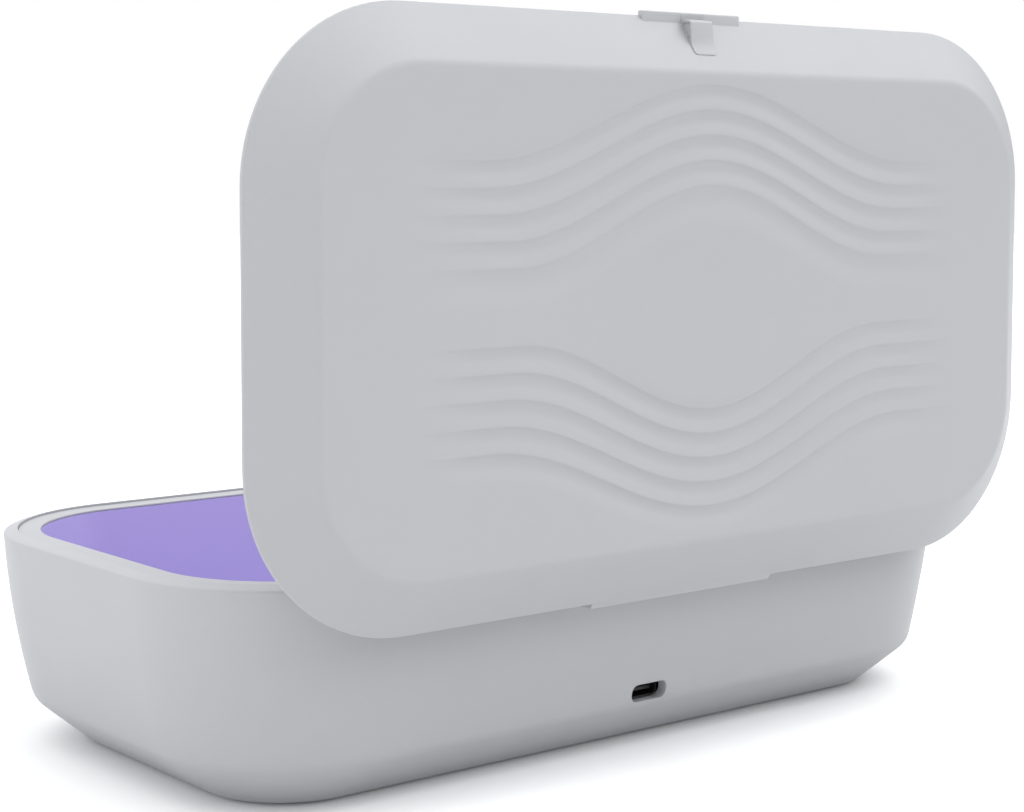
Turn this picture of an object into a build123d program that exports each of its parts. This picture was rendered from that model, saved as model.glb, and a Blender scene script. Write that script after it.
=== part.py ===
from build123d import *
import os
from math import atan2, cos, hypot, pi, sin

# A hinged box that disinfects a phone with ultraviolet light.
# +Z is up and z = 0 is the surface that the box stands on. X runs along the box.
# -Y is its front, with the clasp and the button. +Y is its rear, with the hinge and the power socket.
# The lid stands open.
# Lid pieces are drawn as if the lid were closed, on planes that on_lid() swings open with the hinge.

os.makedirs("parts", exist_ok=True)

# ---- base: sizes in millimetres ----
box_length = 221.6
box_depth = 121.5
box_corner_r = 36.6
foot_proud = 0.7
shell_height = 47.3
wall = 2.5
rim_band_width = 2.8
rim_band_rise = 0.9
rim_land = 0.4
belly_drop = 37.4
belly_inset = 5.85
belly_round = 5.0
sole_inset = 17.6
sole_round = 0.8
rib_width = 2.0
rib_drop = 12.0
rib_end_y = 18.0
rib_end_inset = 60.8
rib_near_x = 24.0

# ---- chamber ----
ring_drop = 0.5
ring_thickness = 1.6
ring_fit = 0.1
chamber_inset = 8.2
chamber_depth = 30.0
chamber_draft = 0.25
chamber_floor_round = 7.0
tray_wall = 1.6
flange_thickness = 1.5
flange_fit = 0.2
rest_rib_height = 2.0
rest_rib_width = 2.4
rest_rib_length = 64.0
rest_rib_pitch = 26.0
rest_rib_count = 6

# ---- hinge ----
lid_open_angle = 90.0
hinge_inset = 3.3
hinge_drop = 7.15
hinge_lug_length = 52.6
hinge_lug_r = 4.43
hinge_hub_r = 2.6
hinge_lug_web = 3.8
hinge_end_gap = 0.4
hinge_stop_gap = 0.35
hinge_ear_length = 7.0
hinge_ear_half = 3.0
hinge_pin_r = 1.25
hinge_pin_length = 20.0
running_gap = 0.05

# ---- lid ----
lid_gap = 0.3
lid_end_step = 0.8
lid_side_step = 0.025
lid_corner_r = 35.3
lid_height = 8.6
lid_edge = 0.89
face_inset = 11.6
face_round = 3.5
lid_wall = 2.0
liner_thickness = 1.5
liner_rise = 0.3
liner_fit = 0.25
liner_flange_width = 10.4
liner_recess = 3.7
liner_skin = 0.9
liner_outer_taper = 2.0
liner_inner_taper = 3.5
liner_screw_inset = 9.8
liner_screw_end_inset = 62.0
liner_screw_y = 20.0
liner_boss_r = 1.95
liner_head_r = 1.8
liner_head_height = 0.6
liner_head_sink = 0.7
liner_screw_bite = 2.4
liner_screw_spare = 0.2
liner_boss_sink = 0.4
magnet_inset = 9.6
magnet_r = 2.0
magnet_height = 1.5
gasket_inset = 5.95
gasket_width = 1.45
gasket_depth = 0.8
gasket_gap = 0.3
gasket_fit = 0.05
reflector_thickness = 0.5
reflector_margin = 0.6

# ---- waves moulded into the lid's face ----
wave_count = 5
wave_pitch = 5.12
wave_near = 8.0
wave_rise = 15.8
wave_half_length = 53.0
wave_spread = 1.9
wave_runout = 16.0
wave_depth = 0.3
wave_end_depth = 0.12
wave_sections = 24
gouge_half = 2.9
gouge_height = 0.43

# ---- clasp on the lid's front edge ----
lip_length = 27.5
lip_width = 2.25
lip_height = 1.43
lip_rise = 0.27
lip_reach = 1.02
lip_round = 0.35
clasp_width = 5.6
clasp_side_gap = 0.2
clasp_pin_r = 0.4
clasp_pin_length = 21.0
clasp_travel = 245.0
tongue_length = 9.45
tongue_lift = 0.25
tongue_tip = 0.35
shoulder_reach = 0.1
shoulder_lean = 0.45
shoulder_height = 3.5
shoulder_chamfer = 0.4
front_reach = 3.9
neck_reach = 0.6
clasp_slot_gap = 0.3
clasp_core_wall = 0.4
clasp_core_web = 1.0
clasp_pocket_gap = 0.35
clasp_pocket_turn = 10.0
clasp_pocket_steps = 9
clasp_boss_half = 5.5
clasp_boss_depth = 5.2
clasp_boss_drop = 12.5
clasp_boss_sink = 0.1
scoop_r = 10.0
scoop_drop = 10.6
scoop_depth = 1.7

# ---- button, boards and small parts ----
button_end_inset = 48.8
button_drop = 24.0
button_r = 5.6
button_proud = 0.9
button_travel = 0.6
button_gap = 0.3
button_edge_round = 0.5
light_ring_width = 1.6
light_ring_proud = 0.2
light_ring_fit = 0.05
ring_flange_width = 1.2
ring_flange = 1.0
cap_flange_width = 1.0
cap_flange = 1.0
switch_height = 1.1
switch_width = 5.2
switch_gap = 0.2
button_board_length = 22.0
button_board_width = 14.0
button_board_thickness = 0.8
button_board_corner_r = 1.5
lid_switch_end_inset = 48.8
lid_switch_drop = 12.0
lid_switch_length = 14.0
lid_switch_depth = 3.2
lid_switch_height = 5.0
lid_switch_round = 0.6
lid_switch_fit = 0.05
usb_x = 0.6
usb_drop = 34.8
usb_slot_length = 10.0
usb_slot_height = 3.9
usb_slot_r = 1.6
usb_length = 8.94
usb_height = 3.26
usb_reach = 7.4
usb_wall = 0.3
usb_mouth_gap = 0.1
usb_back = 1.0
usb_tongue_width = 6.7
usb_tongue_height = 0.7
usb_tongue_sink = 0.9
usb_end_flat = 0.1
board_thickness = 1.6
board_front_y = 9.0
board_half_length = 38.0
board_offset_x = -4.0
board_corner_r = 1.5
board_rear_gap = 0.49
board_hole_inset = 4.0
board_post_r = 3.0
led_board_length = 62.0
led_board_width = 16.0
led_board_thickness = 1.2
led_board_end_inset = 62.8
led_board_corner_r = 2.0
led_offset = 20.0
led_hole_offset = 28.0
led_size = 3.5
led_body_height = 0.9
led_lens_r = 1.4
led_lens_height = 0.5
led_window_gap = 0.8
led_stand_r = 2.4
window_r = 5.2
window_thickness = 0.8
window_step = 0.9
window_fit = 0.1
foot_end_inset = 32.8
foot_side_inset = 27.75
foot_r = 6.8
foot_round = 0.4
foot_recess = 1.2
foot_fit = 0.2
screw_r = 1.5
screw_head_r = 2.8
screw_head_z = 2.6
screw_head_height = 2.0
screw_head_fit = 0.3
screw_length = 11.0
screw_spare = 0.5
screw_boss_wall = 2.0
cross_length = 3.2
cross_width = 0.7
cross_depth = 1.0
tray_boss_rise = 4.8
small_screw_r = 1.0
small_head_r = 1.9
small_head_height = 1.3
small_screw_bite = 4.5
hole_gap = 0.15
thread_gap = 0.02

# ---- places worked out from the sizes ----
lid_length = box_length - 2 * lid_end_step
lid_depth = box_depth - 2 * lid_side_step
rim_z = foot_proud + shell_height
crease_z = rim_z - rim_band_rise
belly_z = rim_z - belly_drop
ring_z = rim_z - ring_drop
flange_z = ring_z - ring_thickness
seat_z = flange_z - flange_thickness
floor_z = ring_z - chamber_depth
tray_under_z = floor_z - tray_wall
shell_floor_z = foot_proud + wall
seat_inset = rim_band_width + rim_land
hinge_y = box_depth / 2 - hinge_inset
hinge_z = rim_z - hinge_drop
lid_z = rim_z + lid_gap

# The wall leans by draft and the band below it by flare, both as inset per unit of height.
draft = belly_inset / (belly_drop - rim_band_rise)
flare = (sole_inset - belly_inset) / (shell_height - belly_drop)
wall_run = wall * hypot(1, draft)
band_run = wall * hypot(1, flare)
inner_crease_rise = (band_run - wall_run) / (flare - draft)
inner_crease_inset = belly_inset + band_run - flare * inner_crease_rise
inner_floor_inset = sole_inset - flare * wall + band_run

# The lid's slope, from its edge to its face.
slope = face_inset / (lid_height - lid_edge)
slope_run = lid_wall * hypot(1, slope)
lid_land = slope_run - slope * lid_edge
lid_ceiling = lid_height - lid_wall
liner_z = lid_z + liner_rise
liner_edge = lid_land + slope * liner_rise + liner_fit
reflector_top = liner_z + liner_recess - liner_skin


def wall_inset(z):
    """Inset of the base's outer wall at height z, between the crease and the belly."""
    return draft * (crease_z - z)


def inner_inset(z):
    """Inset of the base's inner surface at height z, on the wall or on the band below it."""
    low_z = belly_z + inner_crease_rise
    if z < low_z:
        return inner_crease_inset + flare * (low_z - z)
    return seat_inset + (inner_crease_inset - seat_inset) * (seat_z - z) / (seat_z - low_z)


def tray_inset(z):
    """Inset of the tray's outer wall at height z."""
    return chamber_inset - tray_wall + chamber_draft * (ring_z - z)


def base_outline(inset):
    """Plan outline of the base, inset from its widest line."""
    RectangleRounded(box_length - 2 * inset, box_depth - 2 * inset, box_corner_r - inset)


def lid_outline(inset):
    """Plan outline of the lid, inset from its edge."""
    RectangleRounded(lid_length - 2 * inset, lid_depth - 2 * inset, lid_corner_r - inset)


def level(z):
    """Horizontal plane at height z."""
    return Plane.XY.offset(z)


swing = Location((0, hinge_y, hinge_z), (-lid_open_angle, 0, 0)) * Location((0, -hinge_y, -hinge_z))


def on_lid(plane):
    """A plane given for the closed lid, carried to where the lid stands open."""
    return Plane(swing * plane.location)


def corner_points(x, y):
    """Four points at plus and minus x and y."""
    return [(x, y), (-x, y), (x, -y), (-x, -y)]


def pair_points(x, reach):
    """Points at reach on both sides of plus and minus x, along X."""
    return [(-x - reach, 0), (-x + reach, 0), (x - reach, 0), (x + reach, 0)]


def save(piece, name):
    """Labels a finished piece and writes it to its STEP file."""
    piece.part.label = name
    export_step(piece.part, f"parts/{name}.step")


# ---- clasp geometry, shared by the clasp, the lid's slot and the base's pocket ----
clasp_y = -(lid_depth / 2 + lip_reach - lip_width / 2)
clasp_z = lid_z + lip_rise + lip_height / 2
slope_angle = atan2(1, slope)
along = Vector(cos(slope_angle), sin(slope_angle))
away = Vector(-sin(slope_angle), cos(slope_angle))
slope_foot = Vector(-lid_depth / 2, lid_z + lid_edge) - Vector(clasp_y, clasp_z)
tongue_under = slope_foot.dot(away) + tongue_lift
tip_under = along * tongue_length + away * tongue_under
tip_over = along * tongue_length + away * (tongue_under + tongue_tip)
neck_under = along * neck_reach + away * tongue_under
clasp_outline = [
    (shoulder_reach, 0),
    (shoulder_reach + shoulder_lean, shoulder_height - shoulder_chamfer),
    (shoulder_reach + shoulder_lean + shoulder_chamfer, shoulder_height),
    (front_reach, shoulder_height),
    (tip_over.X, tip_over.Y),
    (tip_under.X, tip_under.Y),
    (neck_under.X, neck_under.Y),
]

# the triangle that the cored pockets leave between the plate, the shoulder and the front
core_x = shoulder_reach + shoulder_lean + clasp_core_wall
core_y = shoulder_height - clasp_core_wall
core_line = away * (tongue_under + clasp_core_wall)
core_low = core_line + along * ((core_x - core_line.X) / along.X)
core_far = core_line + along * ((core_y - core_line.Y) / along.Y)
core_outline = [(core_x, core_low.Y), (core_far.X, core_y), (core_x, core_y)]


def clasp_sketch(turn=0):
    """The clasp's outline about its pin, turned from where it lies on the lid's slope."""
    with Locations(Location((clasp_y, clasp_z), turn)):
        RectangleRounded(lip_width, lip_height, lip_round)
        Polygon(*clasp_outline, align=None)


# ---- front wall plane for the button, square to the leaning wall ----
button_x = box_length / 2 - button_end_inset
button_z = rim_z - button_drop
button_y = -(box_depth / 2 - wall_inset(button_z))
front_wall = Plane(origin=(button_x, button_y, button_z), x_dir=(1, 0, 0), z_dir=(0, -1, -draft))
ring_r = button_r + button_gap + light_ring_width
ring_flange_r = ring_r + ring_flange_width
cap_flange_depth = wall + ring_flange + button_gap
switch_depth = cap_flange_depth + cap_flange + button_travel + switch_gap
button_board_depth = switch_depth + switch_height

# ---- screw and board places ----
feet = corner_points(box_length / 2 - foot_end_inset, box_depth / 2 - foot_side_inset)
tray_boss_z = shell_floor_z + tray_boss_rise
thread_length = screw_length - (tray_boss_z - screw_head_z - screw_head_height)

usb_z = rim_z - usb_drop
usb_inner_y = box_depth / 2 - wall_inset(usb_z) - wall_run
board_top_z = usb_z - usb_height / 2
board_under_z = board_top_z - board_thickness
board_rear_y = box_depth / 2 - inner_inset(board_under_z) - board_rear_gap
board_x = usb_x + board_offset_x
board_y = (board_rear_y + board_front_y) / 2
board_width = board_rear_y - board_front_y
board_hole_x = board_half_length - board_hole_inset
board_hole_y = board_width / 2 - board_hole_inset
board_holes = [(board_x + x, board_y + y) for x, y in corner_points(board_hole_x, board_hole_y)]

led_board_x = box_length / 2 - led_board_end_inset
led_board_top = tray_under_z - led_body_height - led_lens_height - led_window_gap
lamps = pair_points(led_board_x, led_offset)
lamp_holes = pair_points(led_board_x, led_hole_offset)

liner_side_screws = corner_points(lid_length / 2 - liner_screw_inset, liner_screw_y)
liner_long_screws = corner_points(lid_length / 2 - liner_screw_end_inset, lid_depth / 2 - liner_screw_inset)
liner_screws = liner_side_screws + liner_long_screws

# ================= base =================

# The hollow of the base, with every boss, rib and ear left out of it, so that each joins the wall.
rib_reach = tray_inset(seat_z) - 2 * flange_fit
rib_far_x = box_length / 2 - rib_end_inset
rib_places = [(-rib_far_x, 1), (rib_far_x, 1), (-rib_far_x, -1), (-rib_near_x, -1), (rib_near_x, -1)]
clasp_boss_top = seat_z - clasp_boss_sink

with BuildPart() as base_hollow:
    with BuildSketch(level(shell_floor_z)):
        base_outline(inner_floor_inset)
    with BuildSketch(level(belly_z + inner_crease_rise)):
        base_outline(inner_crease_inset)
    with BuildSketch(level(seat_z)):
        base_outline(seat_inset)
    with BuildSketch(level(rim_z + 1)):
        base_outline(seat_inset)
    loft(ruled=True)
    # ribs that carry the tray's flange on the long walls and the end walls
    with BuildSketch(level(seat_z)):
        for x, side in rib_places:
            with Locations((x, side * (box_depth / 2 - rib_reach / 2))):
                Rectangle(rib_width, rib_reach)
        with Locations(*corner_points(box_length / 2 - rib_reach / 2, rib_end_y)):
            Rectangle(rib_reach, rib_width)
    extrude(amount=-rib_drop, mode=Mode.SUBTRACT)
    # block behind the clasp's pocket
    with BuildSketch(level(clasp_boss_top)):
        with Locations((0, clasp_y)):
            Rectangle(2 * clasp_boss_half, 2 * clasp_boss_depth)
    extrude(amount=rim_z - clasp_boss_drop - clasp_boss_top, mode=Mode.SUBTRACT)
    # ears that hold the hinge pins
    with BuildSketch(Plane.YZ.offset(hinge_lug_length / 2 + hinge_end_gap)):
        with Locations((hinge_y - hinge_ear_half, hinge_z)):
            Rectangle(5 * hinge_ear_half, 2 * hinge_ear_half, align=(Align.MIN, Align.CENTER))
    extrude(amount=hinge_ear_length, mode=Mode.SUBTRACT)
    with BuildSketch(Plane.YZ.offset(-hinge_lug_length / 2 - hinge_end_gap)):
        with Locations((hinge_y - hinge_ear_half, hinge_z)):
            Rectangle(5 * hinge_ear_half, 2 * hinge_ear_half, align=(Align.MIN, Align.CENTER))
    extrude(amount=-hinge_ear_length, mode=Mode.SUBTRACT)
    # bosses for the tray's screws and posts for the main board
    with BuildSketch(level(foot_proud)):
        with Locations(*feet):
            Circle(screw_head_r + screw_boss_wall)
    extrude(amount=tray_boss_z - foot_proud, mode=Mode.SUBTRACT)
    with BuildSketch(level(foot_proud)):
        with Locations(*board_holes):
            Circle(board_post_r)
    extrude(amount=board_under_z - foot_proud, mode=Mode.SUBTRACT)

with BuildPart() as base_shell:
    with BuildSketch(level(foot_proud)):
        base_outline(sole_inset)
    with BuildSketch(level(belly_z)):
        base_outline(belly_inset)
    with BuildSketch(level(crease_z)):
        base_outline(0)
    with BuildSketch(level(rim_z)):
        base_outline(rim_band_width)
    loft(ruled=True)
    fillet(base_shell.edges().filter_by_position(Axis.Z, belly_z - 0.1, belly_z + 0.1), belly_round)
    fillet(base_shell.edges().group_by(Axis.Z)[0], sole_round)
    add(base_hollow.part, mode=Mode.SUBTRACT)
    # notch that the lid's hinge lug swings in
    with BuildSketch(Plane.YZ.offset(-hinge_lug_length / 2 - hinge_end_gap)):
        with Locations((hinge_y - hinge_lug_r, hinge_z - hinge_lug_r - hinge_stop_gap)):
            Rectangle(5 * hinge_lug_r, 3 * hinge_drop, align=(Align.MIN, Align.MIN))
    extrude(amount=hinge_lug_length + 2 * hinge_end_gap, mode=Mode.SUBTRACT)
    with BuildSketch(Plane.YZ.offset(-hinge_lug_length / 2 - hinge_end_gap - hinge_ear_length)):
        with Locations((hinge_y, hinge_z)):
            Circle(hinge_pin_r)
    extrude(amount=hinge_lug_length + 2 * hinge_end_gap + 2 * hinge_ear_length, mode=Mode.SUBTRACT)
    # pocket for the hanging clasp and a scoop to lift its tip
    with BuildSketch(Plane.YZ.offset(-clasp_width / 2 - clasp_pocket_gap)):
        for turn in range(clasp_pocket_steps):
            clasp_sketch(clasp_travel - clasp_pocket_turn * turn)
        offset(amount=clasp_pocket_gap)
    extrude(amount=clasp_width + 2 * clasp_pocket_gap, mode=Mode.SUBTRACT)
    scoop_z = rim_z - scoop_drop
    with Locations((0, wall_inset(scoop_z) - box_depth / 2 - scoop_r + scoop_depth, scoop_z)):
        Sphere(scoop_r, mode=Mode.SUBTRACT)
    # slot for the power socket
    with BuildSketch(Plane.XZ.offset(-box_depth / 2)):
        with Locations((usb_x, usb_z)):
            RectangleRounded(usb_slot_length, usb_slot_height, usb_slot_r)
    extrude(amount=box_depth / 2 - usb_inner_y + 1, mode=Mode.SUBTRACT)
    # round opening for the button and its light ring, with a flat inside for the ring's flange
    with BuildSketch(front_wall.offset(1)):
        Circle(ring_r + light_ring_fit)
    extrude(amount=-2 * wall, mode=Mode.SUBTRACT)
    with BuildSketch(front_wall.offset(-wall)):
        Circle(ring_flange_r + light_ring_fit)
    extrude(amount=-2 * ring_flange, mode=Mode.SUBTRACT)
    # screw holes from below, with their heads sunk under the feet
    with BuildSketch(level(foot_proud)):
        with Locations(*feet):
            Circle(foot_r + foot_fit / 2)
    extrude(amount=foot_recess, mode=Mode.SUBTRACT)
    with BuildSketch(level(foot_proud)):
        with Locations(*feet):
            Circle(screw_head_r + screw_head_fit)
    extrude(amount=screw_head_z + screw_head_height - foot_proud, mode=Mode.SUBTRACT)
    with BuildSketch(level(foot_proud)):
        with Locations(*feet):
            Circle(screw_r + hole_gap)
    extrude(amount=tray_boss_z - foot_proud, mode=Mode.SUBTRACT)
    # pilot holes in the main board's posts
    with BuildSketch(level(board_under_z)):
        with Locations(*board_holes):
            Circle(small_screw_r + thread_gap)
    extrude(amount=-(small_screw_bite + screw_spare), mode=Mode.SUBTRACT)
save(base_shell, "base_shell")

with BuildPart() as rubber_feet:
    with BuildSketch(level(0)):
        with Locations(*feet):
            Circle(foot_r)
    extrude(amount=foot_proud + foot_recess)
    fillet(rubber_feet.edges().group_by(Axis.Z)[0], foot_round)
save(rubber_feet, "rubber_feet")

with BuildPart() as tray_screws:
    with BuildSketch(level(screw_head_z)):
        with Locations(*feet):
            Circle(screw_head_r)
    extrude(amount=screw_head_height)
    with BuildSketch(level(screw_head_z + screw_head_height)):
        with Locations(*feet):
            Circle(screw_r)
    extrude(amount=screw_length)
    with BuildSketch(level(screw_head_z)):
        with Locations(*feet):
            Rectangle(cross_length, cross_width)
            Rectangle(cross_width, cross_length)
    extrude(amount=cross_depth, mode=Mode.SUBTRACT)
save(tray_screws, "tray_screws")

with BuildPart() as chamber_space:
    with BuildSketch(level(floor_z)):
        base_outline(tray_inset(floor_z) + tray_wall)
    with BuildSketch(level(ring_z)):
        base_outline(chamber_inset)
    loft(ruled=True)
    fillet(chamber_space.edges().group_by(Axis.Z)[0], chamber_floor_round)

with BuildPart() as chamber_tray:
    with BuildSketch(level(tray_under_z)):
        base_outline(tray_inset(tray_under_z))
    with BuildSketch(level(flange_z)):
        base_outline(tray_inset(flange_z))
    loft(ruled=True)
    fillet(chamber_tray.edges().group_by(Axis.Z)[0], chamber_floor_round + tray_wall)
    with BuildSketch(level(seat_z)):
        base_outline(seat_inset + flange_fit)
    extrude(amount=flange_thickness)
    add(chamber_space.part, mode=Mode.SUBTRACT)
    # relief round the hinge lug and the clasp's pocket
    with BuildSketch(Plane.YZ.offset(-hinge_lug_length / 2 - hinge_end_gap)):
        with Locations((hinge_y, hinge_z)):
            Circle(hinge_lug_r + hinge_stop_gap)
    extrude(amount=hinge_lug_length + 2 * hinge_end_gap, mode=Mode.SUBTRACT)
    with BuildSketch(Plane.YZ.offset(-clasp_boss_half - flange_fit)):
        with Locations((clasp_y + clasp_boss_depth + flange_fit, flange_z)):
            Rectangle(2 * clasp_boss_depth, 2 * flange_thickness, align=(Align.MAX, Align.CENTER))
    extrude(amount=2 * (clasp_boss_half + flange_fit), mode=Mode.SUBTRACT)
    # bosses for the screws and stands for the two lamp boards
    with BuildSketch(level(tray_boss_z)):
        with Locations(*feet):
            Circle(screw_r + screw_boss_wall)
    extrude(amount=tray_under_z - tray_boss_z)
    with BuildSketch(level(tray_boss_z)):
        with Locations(*feet):
            Circle(screw_r + thread_gap)
    extrude(amount=thread_length + screw_spare, mode=Mode.SUBTRACT)
    with BuildSketch(level(led_board_top)):
        with Locations(*lamp_holes):
            Circle(led_stand_r)
    extrude(amount=tray_under_z - led_board_top)
    with BuildSketch(level(led_board_top)):
        with Locations(*lamp_holes):
            Circle(small_screw_r + thread_gap)
    extrude(amount=tray_under_z - led_board_top + screw_spare, mode=Mode.SUBTRACT)
    # raised ribs that hold the phone off the floor
    with BuildSketch(level(floor_z)):
        with GridLocations(rest_rib_pitch, 0, rest_rib_count, 1):
            SlotOverall(rest_rib_length, rest_rib_width, rotation=90)
    extrude(amount=rest_rib_height)
    # stepped holes for the lamp windows
    with BuildSketch(level(tray_under_z)):
        with Locations(*lamps):
            Circle(window_r - window_step)
    extrude(amount=tray_wall, mode=Mode.SUBTRACT)
    with BuildSketch(level(floor_z - window_thickness)):
        with Locations(*lamps):
            Circle(window_r + window_fit)
    extrude(amount=window_thickness + 2 * rest_rib_height, mode=Mode.SUBTRACT)
save(chamber_tray, "chamber_tray")

with BuildPart() as rim_frame:
    with BuildSketch(level(flange_z)):
        base_outline(seat_inset + ring_fit)
    extrude(amount=ring_thickness)
    with BuildSketch(level(flange_z)):
        base_outline(chamber_inset)
    extrude(amount=ring_thickness, mode=Mode.SUBTRACT)
save(rim_frame, "rim_frame")

with BuildPart() as lamp_windows:
    with BuildSketch(level(floor_z - window_thickness)):
        with Locations(*lamps):
            Circle(window_r)
    extrude(amount=window_thickness)
save(lamp_windows, "lamp_windows")


def lamp_board(name, side):
    """One of the two boards under the tray, with its screw holes."""
    with BuildPart() as board:
        with BuildSketch(level(led_board_top)):
            with Locations((side * led_board_x, 0)):
                RectangleRounded(led_board_length, led_board_width, led_board_corner_r)
            with Locations(*lamp_holes):
                Circle(small_screw_r + hole_gap, mode=Mode.SUBTRACT)
        extrude(amount=-led_board_thickness)
    save(board, name)


lamp_board("lamp_board_left", 1)
lamp_board("lamp_board_right", -1)

with BuildPart() as uv_lamps:
    with BuildSketch(level(led_board_top)):
        with Locations(*lamps):
            Rectangle(led_size, led_size)
    extrude(amount=led_body_height)
    with BuildSketch(level(led_board_top + led_body_height)):
        with Locations(*lamps):
            Circle(led_lens_r)
    extrude(amount=led_lens_height)
save(uv_lamps, "uv_lamps")

with BuildPart() as lamp_screws:
    with BuildSketch(level(led_board_top - led_board_thickness)):
        with Locations(*lamp_holes):
            Circle(small_head_r)
    extrude(amount=-small_head_height)
    with BuildSketch(level(led_board_top - led_board_thickness)):
        with Locations(*lamp_holes):
            Circle(small_screw_r)
    extrude(amount=led_board_thickness + tray_under_z - led_board_top)
save(lamp_screws, "lamp_screws")

with BuildPart() as main_board:
    with BuildSketch(level(board_under_z)):
        with Locations((board_x, board_y)):
            RectangleRounded(2 * board_half_length, board_width, board_corner_r)
        with Locations(*board_holes):
            Circle(small_screw_r + hole_gap, mode=Mode.SUBTRACT)
    extrude(amount=board_thickness)
save(main_board, "main_board")

with BuildPart() as board_screws:
    with BuildSketch(level(board_top_z)):
        with Locations(*board_holes):
            Circle(small_head_r)
    extrude(amount=small_head_height)
    with BuildSketch(level(board_top_z)):
        with Locations(*board_holes):
            Circle(small_screw_r)
    extrude(amount=-(board_thickness + small_screw_bite))
save(board_screws, "board_screws")

# each chip as its place on the board, its plan size and its height
chips = [
    (-18, 0, 7, 7, 1.1),
    (18, -6, 6, 6, 1.1),
    (4, -10, 5, 4, 1.1),
    (20, 6, 4, 4, 2.4),
    (-6, -8, 4, 4, 2.4),
]
with BuildPart() as board_chips:
    for x, y, length, width, height in chips:
        with BuildSketch(level(board_top_z)):
            with Locations((board_x + x, board_y + y)):
                Rectangle(length, width)
        extrude(amount=height)
save(board_chips, "board_chips")

with BuildPart() as usb_socket:
    socket_r = (usb_height - usb_end_flat) / 2
    with BuildSketch(Plane.XZ.offset(usb_mouth_gap - usb_inner_y)):
        with Locations((usb_x, usb_z)):
            RectangleRounded(usb_length, usb_height, socket_r)
    extrude(amount=usb_reach)
    with BuildSketch(Plane.XZ.offset(usb_mouth_gap - usb_inner_y)):
        with Locations((usb_x, usb_z)):
            RectangleRounded(usb_length - 2 * usb_wall, usb_height - 2 * usb_wall, socket_r - usb_wall)
    extrude(amount=usb_reach - usb_back, mode=Mode.SUBTRACT)
    with BuildSketch(Plane.XZ.offset(usb_mouth_gap + usb_tongue_sink - usb_inner_y)):
        with Locations((usb_x, usb_z)):
            Rectangle(usb_tongue_width, usb_tongue_height)
    extrude(amount=usb_reach - usb_tongue_sink - usb_back / 2)
save(usb_socket, "usb_socket")

lid_switch_x = lid_switch_end_inset - box_length / 2
lid_switch_z = rim_z - lid_switch_drop
lid_switch_y = inner_inset(lid_switch_z) + lid_switch_fit - box_depth / 2
with BuildPart() as lid_switch:
    with BuildSketch(level(lid_switch_z)):
        with Locations((lid_switch_x, lid_switch_y)):
            Rectangle(lid_switch_length, lid_switch_depth, align=(Align.CENTER, Align.MIN))
    extrude(amount=lid_switch_height)
    fillet(lid_switch.edges().filter_by(Axis.Z), lid_switch_round)
save(lid_switch, "lid_switch")

with BuildPart() as light_ring:
    with BuildSketch(front_wall.offset(light_ring_proud)):
        Circle(ring_r)
    extrude(amount=-(wall + light_ring_proud))
    with BuildSketch(front_wall.offset(-wall)):
        Circle(ring_flange_r)
    extrude(amount=-ring_flange)
    with BuildSketch(front_wall.offset(light_ring_proud)):
        Circle(button_r + button_gap)
    extrude(amount=-(light_ring_proud + wall + ring_flange), mode=Mode.SUBTRACT)
save(light_ring, "light_ring")

with BuildPart() as power_button:
    with BuildSketch(front_wall.offset(button_proud)):
        Circle(button_r)
    extrude(amount=-(button_proud + cap_flange_depth))
    fillet(power_button.edges().filter_by(GeomType.CIRCLE).sort_by(Axis.Y)[0], button_edge_round)
    with BuildSketch(front_wall.offset(-cap_flange_depth)):
        Circle(button_r + cap_flange_width)
    extrude(amount=-cap_flange)
save(power_button, "power_button")

with BuildPart() as tact_switch:
    with BuildSketch(front_wall.offset(-button_board_depth)):
        Rectangle(switch_width, switch_width)
    extrude(amount=switch_height)
save(tact_switch, "tact_switch")

with BuildPart() as button_board:
    with BuildSketch(front_wall.offset(-button_board_depth)):
        RectangleRounded(button_board_length, button_board_width, button_board_corner_r)
    extrude(amount=-button_board_thickness)
save(button_board, "button_board")

with BuildPart() as hinge_pins:
    for side in (-1, 1):
        ear_end = hinge_lug_length / 2 + hinge_end_gap + hinge_ear_length
        with BuildSketch(Plane.YZ.offset(side * ear_end)):
            with Locations((hinge_y, hinge_z)):
                Circle(hinge_pin_r)
        extrude(amount=-side * hinge_pin_length)
save(hinge_pins, "hinge_pins")

# ================= lid, drawn closed and swung open =================


def gouge(side, turn):
    """A long gouge on the face: it starts near the middle line, swings out in one wave and lifts out."""
    half = wave_half_length + wave_spread * turn
    end = half + wave_runout
    with BuildPart() as cut:
        for step in range(wave_sections + 1):
            x = end * (2 * step / wave_sections - 1)
            crest = (1 + cos(pi * min(abs(x) / half, 1))) / 2
            y = side * (wave_near + wave_pitch * turn + wave_rise * crest)
            depth = wave_end_depth + (wave_depth - wave_end_depth) * crest
            lift = 2 * wave_end_depth * max(abs(x) - half, 0) / wave_runout
            low = lid_z + lid_height - depth + lift
            high = low + gouge_height
            with BuildSketch(on_lid(Plane.YZ.offset(x))):
                with BuildLine():
                    nose = ThreePointArc((y - gouge_half, high), (y, low), (y + gouge_half, high))
                    Line(nose @ 1, nose @ 0)
                make_face()
        loft(ruled=True)
    return cut.part


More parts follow.
